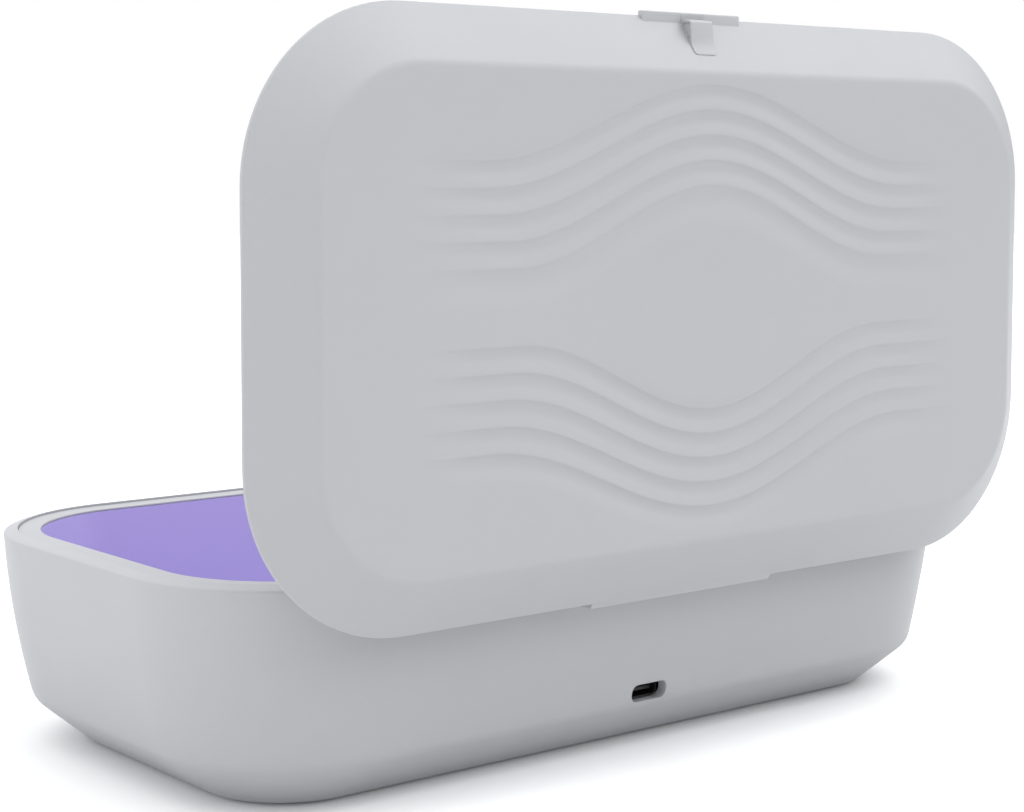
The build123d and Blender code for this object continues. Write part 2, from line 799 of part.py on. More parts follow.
with BuildPart() as lid_shell:
    with BuildSketch(on_lid(level(lid_z))):
        lid_outline(0)
    with BuildSketch(on_lid(level(lid_z + lid_edge))):
        lid_outline(0)
    with BuildSketch(on_lid(level(lid_z + lid_height))):
        lid_outline(face_inset)
    loft(ruled=True)
    fillet(lid_shell.edges().group_by(Axis.Y)[-1], face_round)
    with BuildSketch(on_lid(level(lid_z))):
        lid_outline(lid_land)
    with BuildSketch(on_lid(level(lid_z + lid_ceiling))):
        lid_outline(lid_land + slope * lid_ceiling)
    loft(ruled=True, mode=Mode.SUBTRACT)
    # hinge lug: it carries the slope out past the rear edge and hangs from it
    lug_y = hinge_y + hinge_lug_r
    lug_inner_y = lug_y - hinge_lug_web
    with BuildSketch(on_lid(Plane.YZ.offset(-hinge_lug_length / 2))):
        with Locations((hinge_y, hinge_z)):
            Circle(hinge_lug_r)
            Rectangle(hinge_lug_r, hinge_lug_r, align=(Align.MIN, Align.MAX), mode=Mode.INTERSECT)
        Polygon(
            (lug_y, hinge_z),
            (lug_y, lid_z + lid_edge - (lug_y - lid_depth / 2) / slope),
            (lug_inner_y, lid_z + lid_edge + (lid_depth / 2 - lug_inner_y) / slope),
            (lug_inner_y, hinge_z),
            align=None,
        )
        with Locations((hinge_y, hinge_z)):
            Circle(hinge_hub_r)
            Circle(hinge_pin_r + running_gap, mode=Mode.SUBTRACT)
    extrude(amount=hinge_lug_length)
    # front lip, with the clasp's slot and pin bore
    with BuildSketch(on_lid(Plane.YZ.offset(-lip_length / 2))):
        with Locations((clasp_y, clasp_z)):
            RectangleRounded(lip_width, lip_height, lip_round)
    extrude(amount=lip_length)
    with BuildSketch(on_lid(Plane.YZ.offset(-clasp_width / 2 - clasp_side_gap))):
        with Locations((clasp_y, clasp_z)):
            Circle(hypot(lip_width, lip_height) / 2 + clasp_slot_gap)
    extrude(amount=clasp_width + 2 * clasp_side_gap, mode=Mode.SUBTRACT)
    with BuildSketch(on_lid(Plane.YZ.offset(-lip_length / 2))):
        with Locations((clasp_y, clasp_z)):
            Circle(clasp_pin_r)
    extrude(amount=clasp_pin_length + screw_spare, mode=Mode.SUBTRACT)
    # bosses for the liner's screws
    with BuildSketch(on_lid(level(liner_z + liner_thickness))):
        with Locations(*liner_screws):
            Circle(liner_boss_r)
    extrude(amount=lid_ceiling - liner_rise - liner_thickness - liner_boss_sink)
    with BuildSketch(on_lid(level(liner_z + liner_thickness))):
        with Locations(*liner_screws):
            Circle(small_screw_r + thread_gap)
    extrude(amount=liner_screw_bite + liner_screw_spare, mode=Mode.SUBTRACT)
    # waves on the face
    for side in (-1, 1):
        for turn in range(wave_count):
            add(gouge(side, turn), mode=Mode.SUBTRACT)
save(lid_shell, "lid_shell")

panel_edge = liner_edge + liner_flange_width
with BuildPart() as lid_liner:
    with BuildSketch(on_lid(level(liner_z))):
        lid_outline(liner_edge)
    with BuildSketch(on_lid(level(liner_z + liner_thickness))):
        lid_outline(liner_edge + slope * liner_thickness)
    loft(ruled=True)
    # shallow panel that carries the reflector
    with BuildSketch(on_lid(level(liner_z + liner_thickness))):
        lid_outline(panel_edge - liner_thickness)
    with BuildSketch(on_lid(level(reflector_top + liner_thickness))):
        lid_outline(panel_edge + liner_outer_taper)
    loft(ruled=True)
    with BuildSketch(on_lid(level(liner_z))):
        lid_outline(panel_edge)
    with BuildSketch(on_lid(level(reflector_top))):
        lid_outline(panel_edge + liner_inner_taper)
    loft(ruled=True, mode=Mode.SUBTRACT)
    # groove for the gasket
    with BuildSketch(on_lid(level(liner_z))):
        lid_outline(gasket_inset - gasket_fit)
    extrude(amount=gasket_depth, mode=Mode.SUBTRACT)
    with BuildSketch(on_lid(level(liner_z))):
        lid_outline(gasket_inset + gasket_width + gasket_fit)
    extrude(amount=gasket_depth)
    with BuildSketch(on_lid(level(liner_z))):
        lid_outline(panel_edge)
    with BuildSketch(on_lid(level(reflector_top))):
        lid_outline(panel_edge + liner_inner_taper)
    loft(ruled=True, mode=Mode.SUBTRACT)
    # sunk screw holes
    with BuildSketch(on_lid(level(liner_z))):
        with Locations(*liner_screws):
            Circle(small_screw_r + hole_gap)
    extrude(amount=liner_thickness, mode=Mode.SUBTRACT)
    with BuildSketch(on_lid(level(liner_z))):
        with Locations(*liner_screws):
            Circle(liner_head_r + hole_gap)
    extrude(amount=liner_head_sink, mode=Mode.SUBTRACT)
save(lid_liner, "lid_liner")

gasket_z = ring_z + gasket_gap
gasket_height = liner_z + gasket_depth - gasket_z
with BuildPart() as lid_gasket:
    with BuildSketch(on_lid(level(gasket_z))):
        lid_outline(gasket_inset)
    extrude(amount=gasket_height)
    with BuildSketch(on_lid(level(gasket_z))):
        lid_outline(gasket_inset + gasket_width)
    extrude(amount=gasket_height, mode=Mode.SUBTRACT)
save(lid_gasket, "lid_gasket")

with BuildPart() as lid_reflector:
    with BuildSketch(on_lid(level(reflector_top))):
        lid_outline(panel_edge + liner_inner_taper + reflector_margin)
    extrude(amount=-reflector_thickness)
save(lid_reflector, "lid_reflector")

with BuildPart() as lid_screws:
    with BuildSketch(on_lid(level(liner_z + liner_head_sink))):
        with Locations(*liner_screws):
            Circle(liner_head_r)
    extrude(amount=-liner_head_height)
    with BuildSketch(on_lid(level(liner_z + liner_head_sink))):
        with Locations(*liner_screws):
            Circle(small_screw_r)
    extrude(amount=liner_thickness - liner_head_sink + liner_screw_bite)
save(lid_screws, "lid_screws")

with BuildPart() as lid_magnet:
    with BuildSketch(on_lid(level(liner_z + liner_thickness))):
        with Locations((lid_switch_x, -(lid_depth / 2 - magnet_inset))):
            Circle(magnet_r)
    extrude(amount=magnet_height)
save(lid_magnet, "lid_magnet")

with BuildPart() as clasp:
    with BuildSketch(on_lid(Plane.YZ.offset(-clasp_width / 2))):
        clasp_sketch()
        with Locations((clasp_y, clasp_z)):
            Circle(clasp_pin_r + running_gap, mode=Mode.SUBTRACT)
    extrude(amount=clasp_width)
    # a cored pocket in each side leaves a web, the top, the front and a plate along the slope
    for side in (-1, 1):
        with BuildSketch(on_lid(Plane.YZ.offset(side * clasp_core_web / 2))):
            with Locations((clasp_y, clasp_z)):
                Polygon(*core_outline, align=None)
        extrude(amount=side * clasp_width, mode=Mode.SUBTRACT)
save(clasp, "clasp")

with BuildPart() as clasp_pin:
    with BuildSketch(on_lid(Plane.YZ.offset(-lip_length / 2))):
        with Locations((clasp_y, clasp_z)):
            Circle(clasp_pin_r)
    extrude(amount=clasp_pin_length)
save(clasp_pin, "clasp_pin")
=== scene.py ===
from math import atan2, cos, hypot, pi, radians, sin, sqrt, tan

import bmesh
import bpy
from mathutils import Matrix, Vector


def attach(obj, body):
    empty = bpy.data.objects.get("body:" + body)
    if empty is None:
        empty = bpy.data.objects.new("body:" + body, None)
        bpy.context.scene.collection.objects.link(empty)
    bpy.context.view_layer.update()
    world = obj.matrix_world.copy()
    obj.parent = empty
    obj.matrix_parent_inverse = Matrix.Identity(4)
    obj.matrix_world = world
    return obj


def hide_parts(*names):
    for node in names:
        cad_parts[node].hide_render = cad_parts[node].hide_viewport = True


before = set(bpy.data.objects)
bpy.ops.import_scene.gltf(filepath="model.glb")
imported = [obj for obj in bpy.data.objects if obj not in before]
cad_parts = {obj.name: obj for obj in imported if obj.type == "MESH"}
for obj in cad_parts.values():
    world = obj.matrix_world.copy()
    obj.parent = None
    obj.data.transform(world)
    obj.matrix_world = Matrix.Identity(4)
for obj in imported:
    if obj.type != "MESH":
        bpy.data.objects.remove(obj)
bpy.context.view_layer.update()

# Looks of a phone sanitizer box: a base with a violet chamber, and a lid that stands open.
# Sizes are in millimetres, in the frame of the solids, and become metres in finish_mesh().

MM = 0.001

# ---- sizes of the base ----
BOX_LENGTH, BOX_DEPTH, BOX_CORNER = 221.6, 121.5, 36.6
FOOT_PROUD, WALL = 0.7, 2.5
RIM_Z, CREASE_Z, BELLY_Z = 48.0, 47.1, 10.6
RIM_BAND, RIM_LAND = 2.8, 0.4
BELLY_INSET, SOLE_INSET, SOLE_MARGIN = 5.85, 17.6, 12.0
SOLE_ROUND, BELLY_ROUND, CREASE_ROUND, RIM_ROUND = 0.9, 5.0, 0.6, 0.35
SWELL, SWELL_STEPS, SWELL_MARGIN = 1.0, 12, 1.0
RING_Z, RING_THICKNESS = 47.5, 1.6
SEAT_Z, FLOOR_Z, TRAY_WALL = 44.4, 17.5, 1.6
CHAMBER_INSET, CHAMBER_DRAFT, CHAMBER_ROUND = 8.2, 0.25, 7.0
WINDOW_PLACES, WINDOW_R = (-68, -28, 28, 68), 4.3
WINDOW_SEAT_R, WINDOW_SEAT = 5.3, 0.8
DRAFT = BELLY_INSET / (CREASE_Z - BELLY_Z)
FLARE = (SOLE_INSET - BELLY_INSET) / (BELLY_Z - FOOT_PROUD)
BASE_SIZE = (BOX_LENGTH, BOX_DEPTH, BOX_CORNER)

# ---- openings and fittings of the base ----
USB_X, USB_DROP = 0.6, 34.8
USB_LENGTH, USB_HEIGHT, USB_ROUND = 10.0, 3.9, 1.6
SCOOP_DROP, SCOOP_R, SCOOP_DEPTH = 10.6, 10.0, 1.7
BOSS_HALF, BOSS_DEPTH, BOSS_DROP = 5.5, 5.2, 12.5
POCKET_GAP, POCKET_TURNS, POCKET_STEPS = 0.2, range(165, 246, 5), 120
BUTTON_X, BUTTON_DROP, BUTTON_DISH_R, BUTTON_DISH_RISE = 62.0, 24.0, 3.2, 0.55
BUTTON_HOLE = [(0, 2), (7.85, 2), (7.85, 0.3), (7.55, 0), (7.55, -6), (0, -6)]
FOOT_PLACES = ((78, 33), (-78, 33), (78, -33), (-78, -33))
FOOT_PROFILE = [
    (0, 0.35), (4.2, 0.35), (4.8, 0.05), (5.2, 0.0), (6.4, 0.0),
    (6.68, 0.12), (6.8, 0.4), (6.8, 1.9), (0, 1.9)
]

# ---- sizes of the lid, drawn closed ----
LID_Z = 48.3
LID_LENGTH, LID_DEPTH, LID_CORNER = 220.0, 121.45, 35.3
LID_HEIGHT, LID_EDGE, FACE_INSET, FACE_ROUND = 8.6, 0.89, 11.6, 3.5
LID_CEILING = 6.6
LID_SLOPE = FACE_INSET / (LID_HEIGHT - LID_EDGE)
LID_LAND = 2.0 * hypot(1, LID_SLOPE) - LID_SLOPE * LID_EDGE
LID_SIZE = (LID_LENGTH, LID_DEPTH, LID_CORNER)
FLAT_INSET = FACE_INSET + FACE_ROUND * tan(atan2(1, LID_SLOPE) / 2)
FLAT_HALF_X = LID_LENGTH / 2 - FLAT_INSET
FLAT_HALF_Y = LID_DEPTH / 2 - FLAT_INSET
FLAT_CORNER = LID_CORNER - FLAT_INSET
HINGE_Y, HINGE_Z, HINGE_GAP, HINGE_END_GAP = 57.45, 40.85, 0.35, 0.4
LUG_LENGTH, LUG_R, LUG_WEB, HUB_R, LUG_START = 52.6, 4.43, 3.8, 2.6, 114
LIP_LENGTH, LIP_WIDTH, LIP_HEIGHT, LIP_BURY = 28.1, 2.25, 1.43, 1.6
LIP_RISE, LIP_REACH, LIP_ROUND = 0.27, 1.02, 0.35

# ---- sizes of the clasp ----
CLASP_Y = -(LID_DEPTH / 2 + LIP_REACH - LIP_WIDTH / 2)
CLASP_Z = LID_Z + LIP_RISE + LIP_HEIGHT / 2
KNUCKLE_WIDTH, SLOT_WIDTH, CLASP_BORE = 6.38, 6.5, 0.45
SLOT_R = hypot(LIP_WIDTH, LIP_HEIGHT) / 2 + 0.3
WEDGE_WIDTH, WEDGE_WEB, WEDGE_WALL, WEDGE_ROUND = 6.3, 5.7, 0.28, 0.85
TONGUE_LENGTH, TONGUE_LIFT, TONGUE_TIP = 9.4, 0.03, 0.12
SHOULDER, SHOULDER_LEAN, SHOULDER_HEIGHT, SHOULDER_CHAMFER = 0.1, 0.5, 3.75, 0.4
FRONT_REACH, FRONT_LEAN, NECK_REACH = 5.7, 0.38, 0.6

# ---- flutes on the lid's face ----
WAVE_NEAR, WAVE_PITCH, WAVE_COUNT, WAVE_MIDDLE = 5.0, 5.18, 5, 0.2
WAVE_RISE, WAVE_HALF, WAVE_SPREAD = 15.8, 51.3, 1.9
WAVE_DEPTH, WAVE_END_DEPTH, WAVE_SOFT, WAVE_TRAIL = 0.58, 0.55, 0.10, 2.6
WAVE_FADE_START, WAVE_FADE_END = 56.0, 82.0
FLUTE_STEPS = [
    0, 0.02, 0.045, 0.08, 0.12, 0.17, 0.23, 0.30,
    0.38, 0.46, 0.55, 0.64, 0.73, 0.82, 0.90, 0.96
]

# ---- floor, light and camera ----
FLOOR_SIZE, FLOOR_TONE, FLOOR_SEEN, FLOOR_GLOW = 3.0, 0.80, 0.98, 0.10
SKY_EVEN = 0.06
# each lobe of light as (towards, narrowness, strength)
SKY_LOBES = [
    ((0, 0, 1), 2.0, 1.77),
    ((1, 0, 0), 2.0, 1.38),
    ((-1, 0, 0), 2.0, 0.15),
    ((0, -1, 0), 2.0, 1.10),
    ((-1, 0.6, 1), 6.0, 2.32),
    ((0, 0.5, 1), 6.0, 0.30),
]
CAMERA_PLACE = (0.30994, 0.39091, 0.12764)
CAMERA_YAW, CAMERA_PITCH, CAMERA_ROLL = 38.856, 4.150, 0.040
CAMERA_LENS, CAMERA_SHIFT = 74.22, (0.0009, -0.0832)


def outline_point(x, y, inset, size):
    """Where a point of the widest outline goes when that outline is drawn in by inset."""
    half_x, half_y, corner = size[0] / 2 - size[2], size[1] / 2 - size[2], size[2]
    cx = max(-half_x, min(half_x, x))
    cy = max(-half_y, min(half_y, y))
    dx, dy = x - cx, y - cy
    reach = hypot(dx, dy)
    if reach < 1e-9:
        return x, y
    scale = (corner - inset) / reach
    return cx + dx * scale, cy + dy * scale


def outline(size, corner_steps=28, side_steps=(24, 10)):
    """Points round the widest outline, anticlockwise, as (length, depth, corner radius) gives it."""
    half_x, half_y, corner = size[0] / 2 - size[2], size[1] / 2 - size[2], size[2]
    points = []
    centres = [(half_x, half_y), (-half_x, half_y), (-half_x, -half_y), (half_x, -half_y)]
    for turn, (cx, cy) in enumerate(centres):
        for step in range(corner_steps + 1):
            angle = (turn + step / corner_steps) * pi / 2
            points.append((cx + corner * cos(angle), cy + corner * sin(angle)))
        nx, ny = centres[(turn + 1) % 4]
        angle = (turn + 1) * pi / 2
        start = (cx + corner * cos(angle), cy + corner * sin(angle))
        end = (nx + corner * cos(angle), ny + corner * sin(angle))
        steps = side_steps[turn % 2]
        for step in range(1, steps):
            share = step / steps
            x = start[0] + (end[0] - start[0]) * share
            y = start[1] + (end[1] - start[1]) * share
            points.append((x, y))
    return points


def rounded(corners, steps=6):
    """An open profile with an arc at each corner; corners are (x, y, radius)."""
    points = []
    for i, (x, y, radius) in enumerate(corners):
        if radius == 0 or i in (0, len(corners) - 1):
            points.append((x, y))
            continue
        before = Vector(corners[i - 1][:2]) - Vector((x, y))
        after = Vector(corners[i + 1][:2]) - Vector((x, y))
        half = before.angle(after) / 2
        reach = radius / tan(half)
        reach = min(reach, 0.48 * before.length, 0.48 * after.length)
        radius = reach * tan(half)
        before.normalize()
        after.normalize()
        centre = Vector((x, y)) + (before + after).normalized() * radius / sin(half)
        start = Vector((x, y)) + before * reach - centre
        end = Vector((x, y)) + after * reach - centre
        sweep = start.angle_signed(end)
        count = max(2, round(steps * abs(sweep) / (pi / 2)) + 1)
        for step in range(count + 1):
            turn = Matrix.Rotation(-sweep * step / count, 2)
            point = centre + turn @ start
            points.append((point.x, point.y))
    return points


def swing(point):
    """A point of the closed lid, carried to where the lid stands open."""
    x, y, z = point
    return x, HINGE_Y + z - HINGE_Z, HINGE_Z - (y - HINGE_Y)


def ring_skin(bm, rings, closed=False):
    """Quads between rings of vertices that all have the same count."""
    pairs = list(zip(rings, rings[1:]))
    if closed:
        pairs.append((rings[-1], rings[0]))
    for low, high in pairs:
        count = len(low)
        for i in range(count):
            j = (i + 1) % count
            bm.faces.new((low[i], low[j], high[j], high[i]))


def capped_skin(bm, rings):
    """Quads between rings, with a face over the first ring and one over the last."""
    ring_skin(bm, rings)
    bm.faces.new(rings[0])
    bm.faces.new(rings[-1])
    bmesh.ops.recalc_face_normals(bm, faces=bm.faces)


def turned_skin(bm, rings, steps):
    """Faces between turned rings, where a ring of one vertex is a point on the axis."""
    for low, high in zip(rings, rings[1:]):
        for i in range(steps):
            j = (i + 1) % steps
            if len(low) == 1:
                bm.faces.new((low[0], high[j], high[i]))
            elif len(high) == 1:
                bm.faces.new((low[i], low[j], high[0]))
            else:
                bm.faces.new((low[i], low[j], high[j], high[i]))


def profile_rings(bm, size, profile, points, swell=lambda z: 0.0):
    """Rings of vertices for a profile of (inset, z) carried round an outline.

    swell gives how far the two ends stand out at a height.
    """
    rings = []
    for inset, z in profile:
        ring = []
        for x, y in points:
            end = max(0.0, abs(x) - size[0] / 2 + size[2]) / size[2]
            px, py = outline_point(x, y, inset - swell(z) * end**2, size)
            ring.append(bm.verts.new((px, py, z)))
        rings.append(ring)
    return rings


def prism(outline_2d, x0, x1):
    """A mesh of a closed (y, z) outline extruded along X."""
    bm = bmesh.new()
    low = [bm.verts.new((x0, y, z)) for y, z in outline_2d]
    high = [bm.verts.new((x1, y, z)) for y, z in outline_2d]
    capped_skin(bm, [low, high])
    return bm


def circle(y, z, radius, steps):
    """Points round a circle in the (y, z) plane."""
    turns = [step * 2 * pi / steps for step in range(steps)]
    return [(y + radius * cos(turn), z + radius * sin(turn)) for turn in turns]


def corner_arcs(corners, radius, first_turn, steps):
    """An outline with rounded corners, from the centres of their arcs, anticlockwise."""
    points = []
    for turn, (cx, cy) in enumerate(corners):
        for step in range(steps + 1):
            angle = (turn + first_turn + step / steps) * pi / 2
            points.append((cx + radius * cos(angle), cy + radius * sin(angle)))
    return points


def as_object(name, bm):
    """A plain object from a mesh in millimetres."""
    mesh = bpy.data.meshes.new(name)
    bm.to_mesh(mesh)
    bm.free()
    obj = bpy.data.objects.new(name, mesh)
    bpy.context.scene.collection.objects.link(obj)
    return obj


def applied(obj):
    """The object's mesh with its modifiers applied and then removed."""
    bpy.context.view_layer.update()
    graph = bpy.context.evaluated_depsgraph_get()
    mesh = bpy.data.meshes.new_from_object(obj.evaluated_get(graph))
    obj.modifiers.clear()
    obj.data = mesh


def cut(obj, cutter, operation="DIFFERENCE"):
    """Takes a cutter out of an object, or joins it on."""
    boolean = obj.modifiers.new("cut", "BOOLEAN")
    boolean.operation = operation
    boolean.solver = "EXACT"
    boolean.object = cutter
    applied(obj)
    bpy.data.objects.remove(cutter)


def bevelled(obj, width, segments=3, angle=35):
    """Rounds an object's edges that are sharper than an angle in degrees."""
    bevel = obj.modifiers.new("bevel", "BEVEL")
    bevel.width = width
    bevel.segments = segments
    bevel.limit_method = "ANGLE"
    bevel.angle_limit = radians(angle)
    applied(obj)


def swung_open(obj):
    """Carries a piece drawn with the lid closed to where the lid stands open."""
    for vertex in obj.data.vertices:
        vertex.co = swing(vertex.co)


def join(first, *others):
    """Puts the meshes of several objects into the first one's."""
    bm = bmesh.new()
    bm.from_mesh(first.data)
    for other in others:
        bm.from_mesh(other.data)
        bpy.data.objects.remove(other)
    bm.to_mesh(first.data)
    bm.free()


def finish_mesh(obj, name, material, body, nodes=(), angle=35):
    """Scales a piece to metres, shades it smooth and puts it on its body."""
    mesh = obj.data
    mesh.transform(Matrix.Scale(MM, 4))
    mesh.shade_smooth()
    mesh.set_sharp_from_angle(angle=radians(angle))
    mesh.materials.clear()
    mesh.materials.append(material)
    obj.name = name
    mesh.name = name
    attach(obj, body)
    if nodes:
        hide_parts(*nodes)
    return obj


def smooth_copy(node, name, material, body, angle=30):
    """A merged copy of a solid's mesh, shaded smooth between its sharp edges."""
    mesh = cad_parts[node].data.copy()
    mesh.transform(Matrix.Scale(1 / MM, 4))
    bm = bmesh.new()
    bm.from_mesh(mesh)
    bmesh.ops.remove_doubles(bm, verts=bm.verts, dist=0.0005)
    bmesh.ops.dissolve_limit(bm, angle_limit=radians(0.2), verts=bm.verts, edges=bm.edges)
    obj = as_object(name, bm)
    return finish_mesh(obj, name, material, body, (node,), angle)


def wired(tree, node, values):
    """Fills a node's inputs with numbers or other nodes' outputs, and gives its first output."""
    for socket, value in zip(node.inputs, values):
        if isinstance(value, (int, float)):
            socket.default_value = value
        else:
            tree.links.new(value, socket)
    return node.outputs[0]


def math_node(tree, operation, a, b):
    """A sum of two numbers or outputs in a node tree."""
    node = tree.nodes.new("ShaderNodeMath")
    node.operation = operation
    return wired(tree, node, (a, b))


# ---- materials ----

def new_material(name, roughness, metallic=0.0, coat=0.0):
    """A material with its shader and object coordinates."""
    material = bpy.data.materials.new(name)
    material.use_nodes = True
    tree = material.node_tree
    shader = tree.nodes["Principled BSDF"]
    shader.inputs["Roughness"].default_value = roughness
    shader.inputs["Metallic"].default_value = metallic
    shader.inputs["Coat Weight"].default_value = coat
    place = tree.nodes.new("ShaderNodeTexCoord")
    return material, tree, shader, place


def noise(tree, place, scale, detail=2.0, stretch=(1, 1, 1)):
    """Noise on object coordinates."""
    mapping = tree.nodes.new("ShaderNodeMapping")
    mapping.inputs["Scale"].default_value = stretch
    tree.links.new(place.outputs["Object"], mapping.inputs["Vector"])
    texture = tree.nodes.new("ShaderNodeTexNoise")
    texture.inputs["Scale"].default_value = scale
    texture.inputs["Detail"].default_value = detail
    tree.links.new(mapping.outputs["Vector"], texture.inputs["Vector"])
    return texture.outputs["Fac"]


def tint(tree, shader, fac, dark, light, low=0.3, high=0.7):
    """Colour that wanders between two close tones."""
    ramp = tree.nodes.new("ShaderNodeValToRGB")
    ramp.color_ramp.elements[0].position = low
    ramp.color_ramp.elements[1].position = high
    ramp.color_ramp.elements[0].color = (*dark, 1)
    ramp.color_ramp.elements[1].color = (*light, 1)
    tree.links.new(fac, ramp.inputs["Fac"])
    tree.links.new(ramp.outputs["Color"], shader.inputs["Base Color"])


def vary_roughness(tree, shader, fac, low, high):
    """Roughness that wanders between two values."""
    span = tree.nodes.new("ShaderNodeMapRange")
    span.inputs["To Min"].default_value = low
    span.inputs["To Max"].default_value = high
    tree.links.new(fac, span.inputs["Value"])
    tree.links.new(span.outputs["Result"], shader.inputs["Roughness"])


def grain(tree, shader, fac, height, strength=1.0):
    """Bump of a height in millimetres."""
    bump = tree.nodes.new("ShaderNodeBump")
    bump.inputs["Distance"].default_value = height * MM
    bump.inputs["Strength"].default_value = strength
    tree.links.new(fac, bump.inputs["Height"])
    tree.links.new(bump.outputs["Normal"], shader.inputs["Normal"])


def moulded_plastic(name, dark, light, roughness=(0.40, 0.52), texture=0.012):
    """Satin moulded plastic with a fine spark-eroded texture."""
    material, tree, shader, place = new_material(name, roughness[0])
    tint(tree, shader, noise(tree, place, 14, 3), dark, light)
    vary_roughness(tree, shader, noise(tree, place, 60, 2), *roughness)
    grain(tree, shader, noise(tree, place, 2600, 1), texture)
    shader.inputs["Specular IOR Level"].default_value = 0.4
    return material


# dark tone, light tone, then where given the span of roughness and the texture's height
shell_plastic = moulded_plastic(
    "shell_plastic", (0.388, 0.392, 0.410), (0.396, 0.400, 0.418))
rim_plastic = moulded_plastic(
    "rim_plastic", (0.382, 0.386, 0.404), (0.390, 0.394, 0.412))
liner_plastic = moulded_plastic(
    "liner_plastic", (0.380, 0.384, 0.402), (0.392, 0.396, 0.414), (0.34, 0.44))
button_plastic = moulded_plastic(
    "button_plastic", (0.34, 0.345, 0.36), (0.35, 0.355, 0.37), (0.32, 0.42))
chamber_violet = moulded_plastic(
    "chamber_violet", (0.385, 0.320, 0.632), (0.397, 0.332, 0.648), (0.30, 0.40), 0.006)
dark_rubber = moulded_plastic(
    "dark_rubber", (0.012, 0.012, 0.013), (0.020, 0.020, 0.022), (0.70, 0.85), 0.03)
seal_rubber = moulded_plastic(
    "seal_rubber", (0.20, 0.20, 0.21), (0.23, 0.23, 0.24), (0.60, 0.75), 0.02)
chip_black = moulded_plastic(
    "chip_black", (0.010, 0.010, 0.011), (0.016, 0.016, 0.018), (0.45, 0.60), 0.01)
socket_dark = moulded_plastic(
    "socket_dark", (0.012, 0.012, 0.013), (0.02, 0.02, 0.021), (0.35, 0.45), 0.004)
light_guide = moulded_plastic(
    "light_guide", (0.56, 0.58, 0.62), (0.58, 0.60, 0.64), (0.18, 0.26), 0.002)
lamp_ceramic = moulded_plastic(
    "lamp_ceramic", (0.70, 0.66, 0.50), (0.78, 0.74, 0.58), (0.25, 0.40), 0.004)


def board_material():
    """Solder mask with faint copper tracks under it."""
    material, tree, shader, place = new_material("board_green", 0.30, coat=0.3)
    wave = tree.nodes.new("ShaderNodeTexWave")
    wave.wave_type = "BANDS"
    wave.inputs["Scale"].default_value = 260
    wave.inputs["Distortion"].default_value = 5.0
    wave.inputs["Detail"].default_value = 1.0
    tree.links.new(place.outputs["Object"], wave.inputs["Vector"])
    tint(tree, shader, wave.outputs["Fac"], (0.004, 0.055, 0.018), (0.012, 0.100, 0.036), 0.42, 0.58)
    grain(tree, shader, wave.outputs["Fac"], 0.02)
    return material


def turned_steel():
    """Plated steel with a fine directional grain."""
    material, tree, shader, place = new_material("steel", 0.28, metallic=1.0)
    lines = noise(tree, place, 900, 2, (1, 1, 0.05))
    tint(tree, shader, lines, (0.34, 0.345, 0.36), (0.42, 0.425, 0.44))
    vary_roughness(tree, shader, lines, 0.22, 0.38)
    return material


def rolled_aluminium():
    """Bright rolled sheet that throws the light back on the phone."""
    material, tree, shader, place = new_material("reflector_metal", 0.2, metallic=1.0)
    lines = noise(tree, place, 500, 3, (0.03, 1, 1))
    tint(tree, shader, lines, (0.46, 0.46, 0.48), (0.52, 0.52, 0.54))
    vary_roughness(tree, shader, lines, 0.20, 0.32)
    return material


def window_quartz():
    """Clear lamp window with a faint smear."""
    material, tree, shader, place = new_material("window_glass", 0.05)
    shader.inputs["Transmission Weight"].default_value = 1.0
    shader.inputs["IOR"].default_value = 1.46
    tint(tree, shader, noise(tree, place, 90, 2), (0.84, 0.82, 0.95), (0.90, 0.88, 0.98))
    vary_roughness(tree, shader, noise(tree, place, 120, 2), 0.02, 0.08)
    return material


board_green = board_material()
steel = turned_steel()
reflector_metal = rolled_aluminium()
window_glass = window_quartz()

# ---- base shell ----
WALL_RUN = WALL * hypot(1, DRAFT)
BAND_RUN = WALL * hypot(1, FLARE)
INNER_RISE = (BAND_RUN - WALL_RUN) / (FLARE - DRAFT)
INNER_CREASE = BELLY_INSET + BAND_RUN - FLARE * INNER_RISE
SEAT_INSET = RIM_BAND + RIM_LAND


def wall_inset(z):
    """Inset of the base's outer wall at a height."""
    return DRAFT * (CREASE_Z - z)


def wall_swell(z):
    """How far the end walls stand out from a straight draft, most at their middle."""
    share = (z - BELLY_Z - SWELL_MARGIN) / (CREASE_Z - BELLY_Z - 2 * SWELL_MARGIN)
    share = max(0.0, min(1.0, share))
    return SWELL * 4 * share * (1 - share)


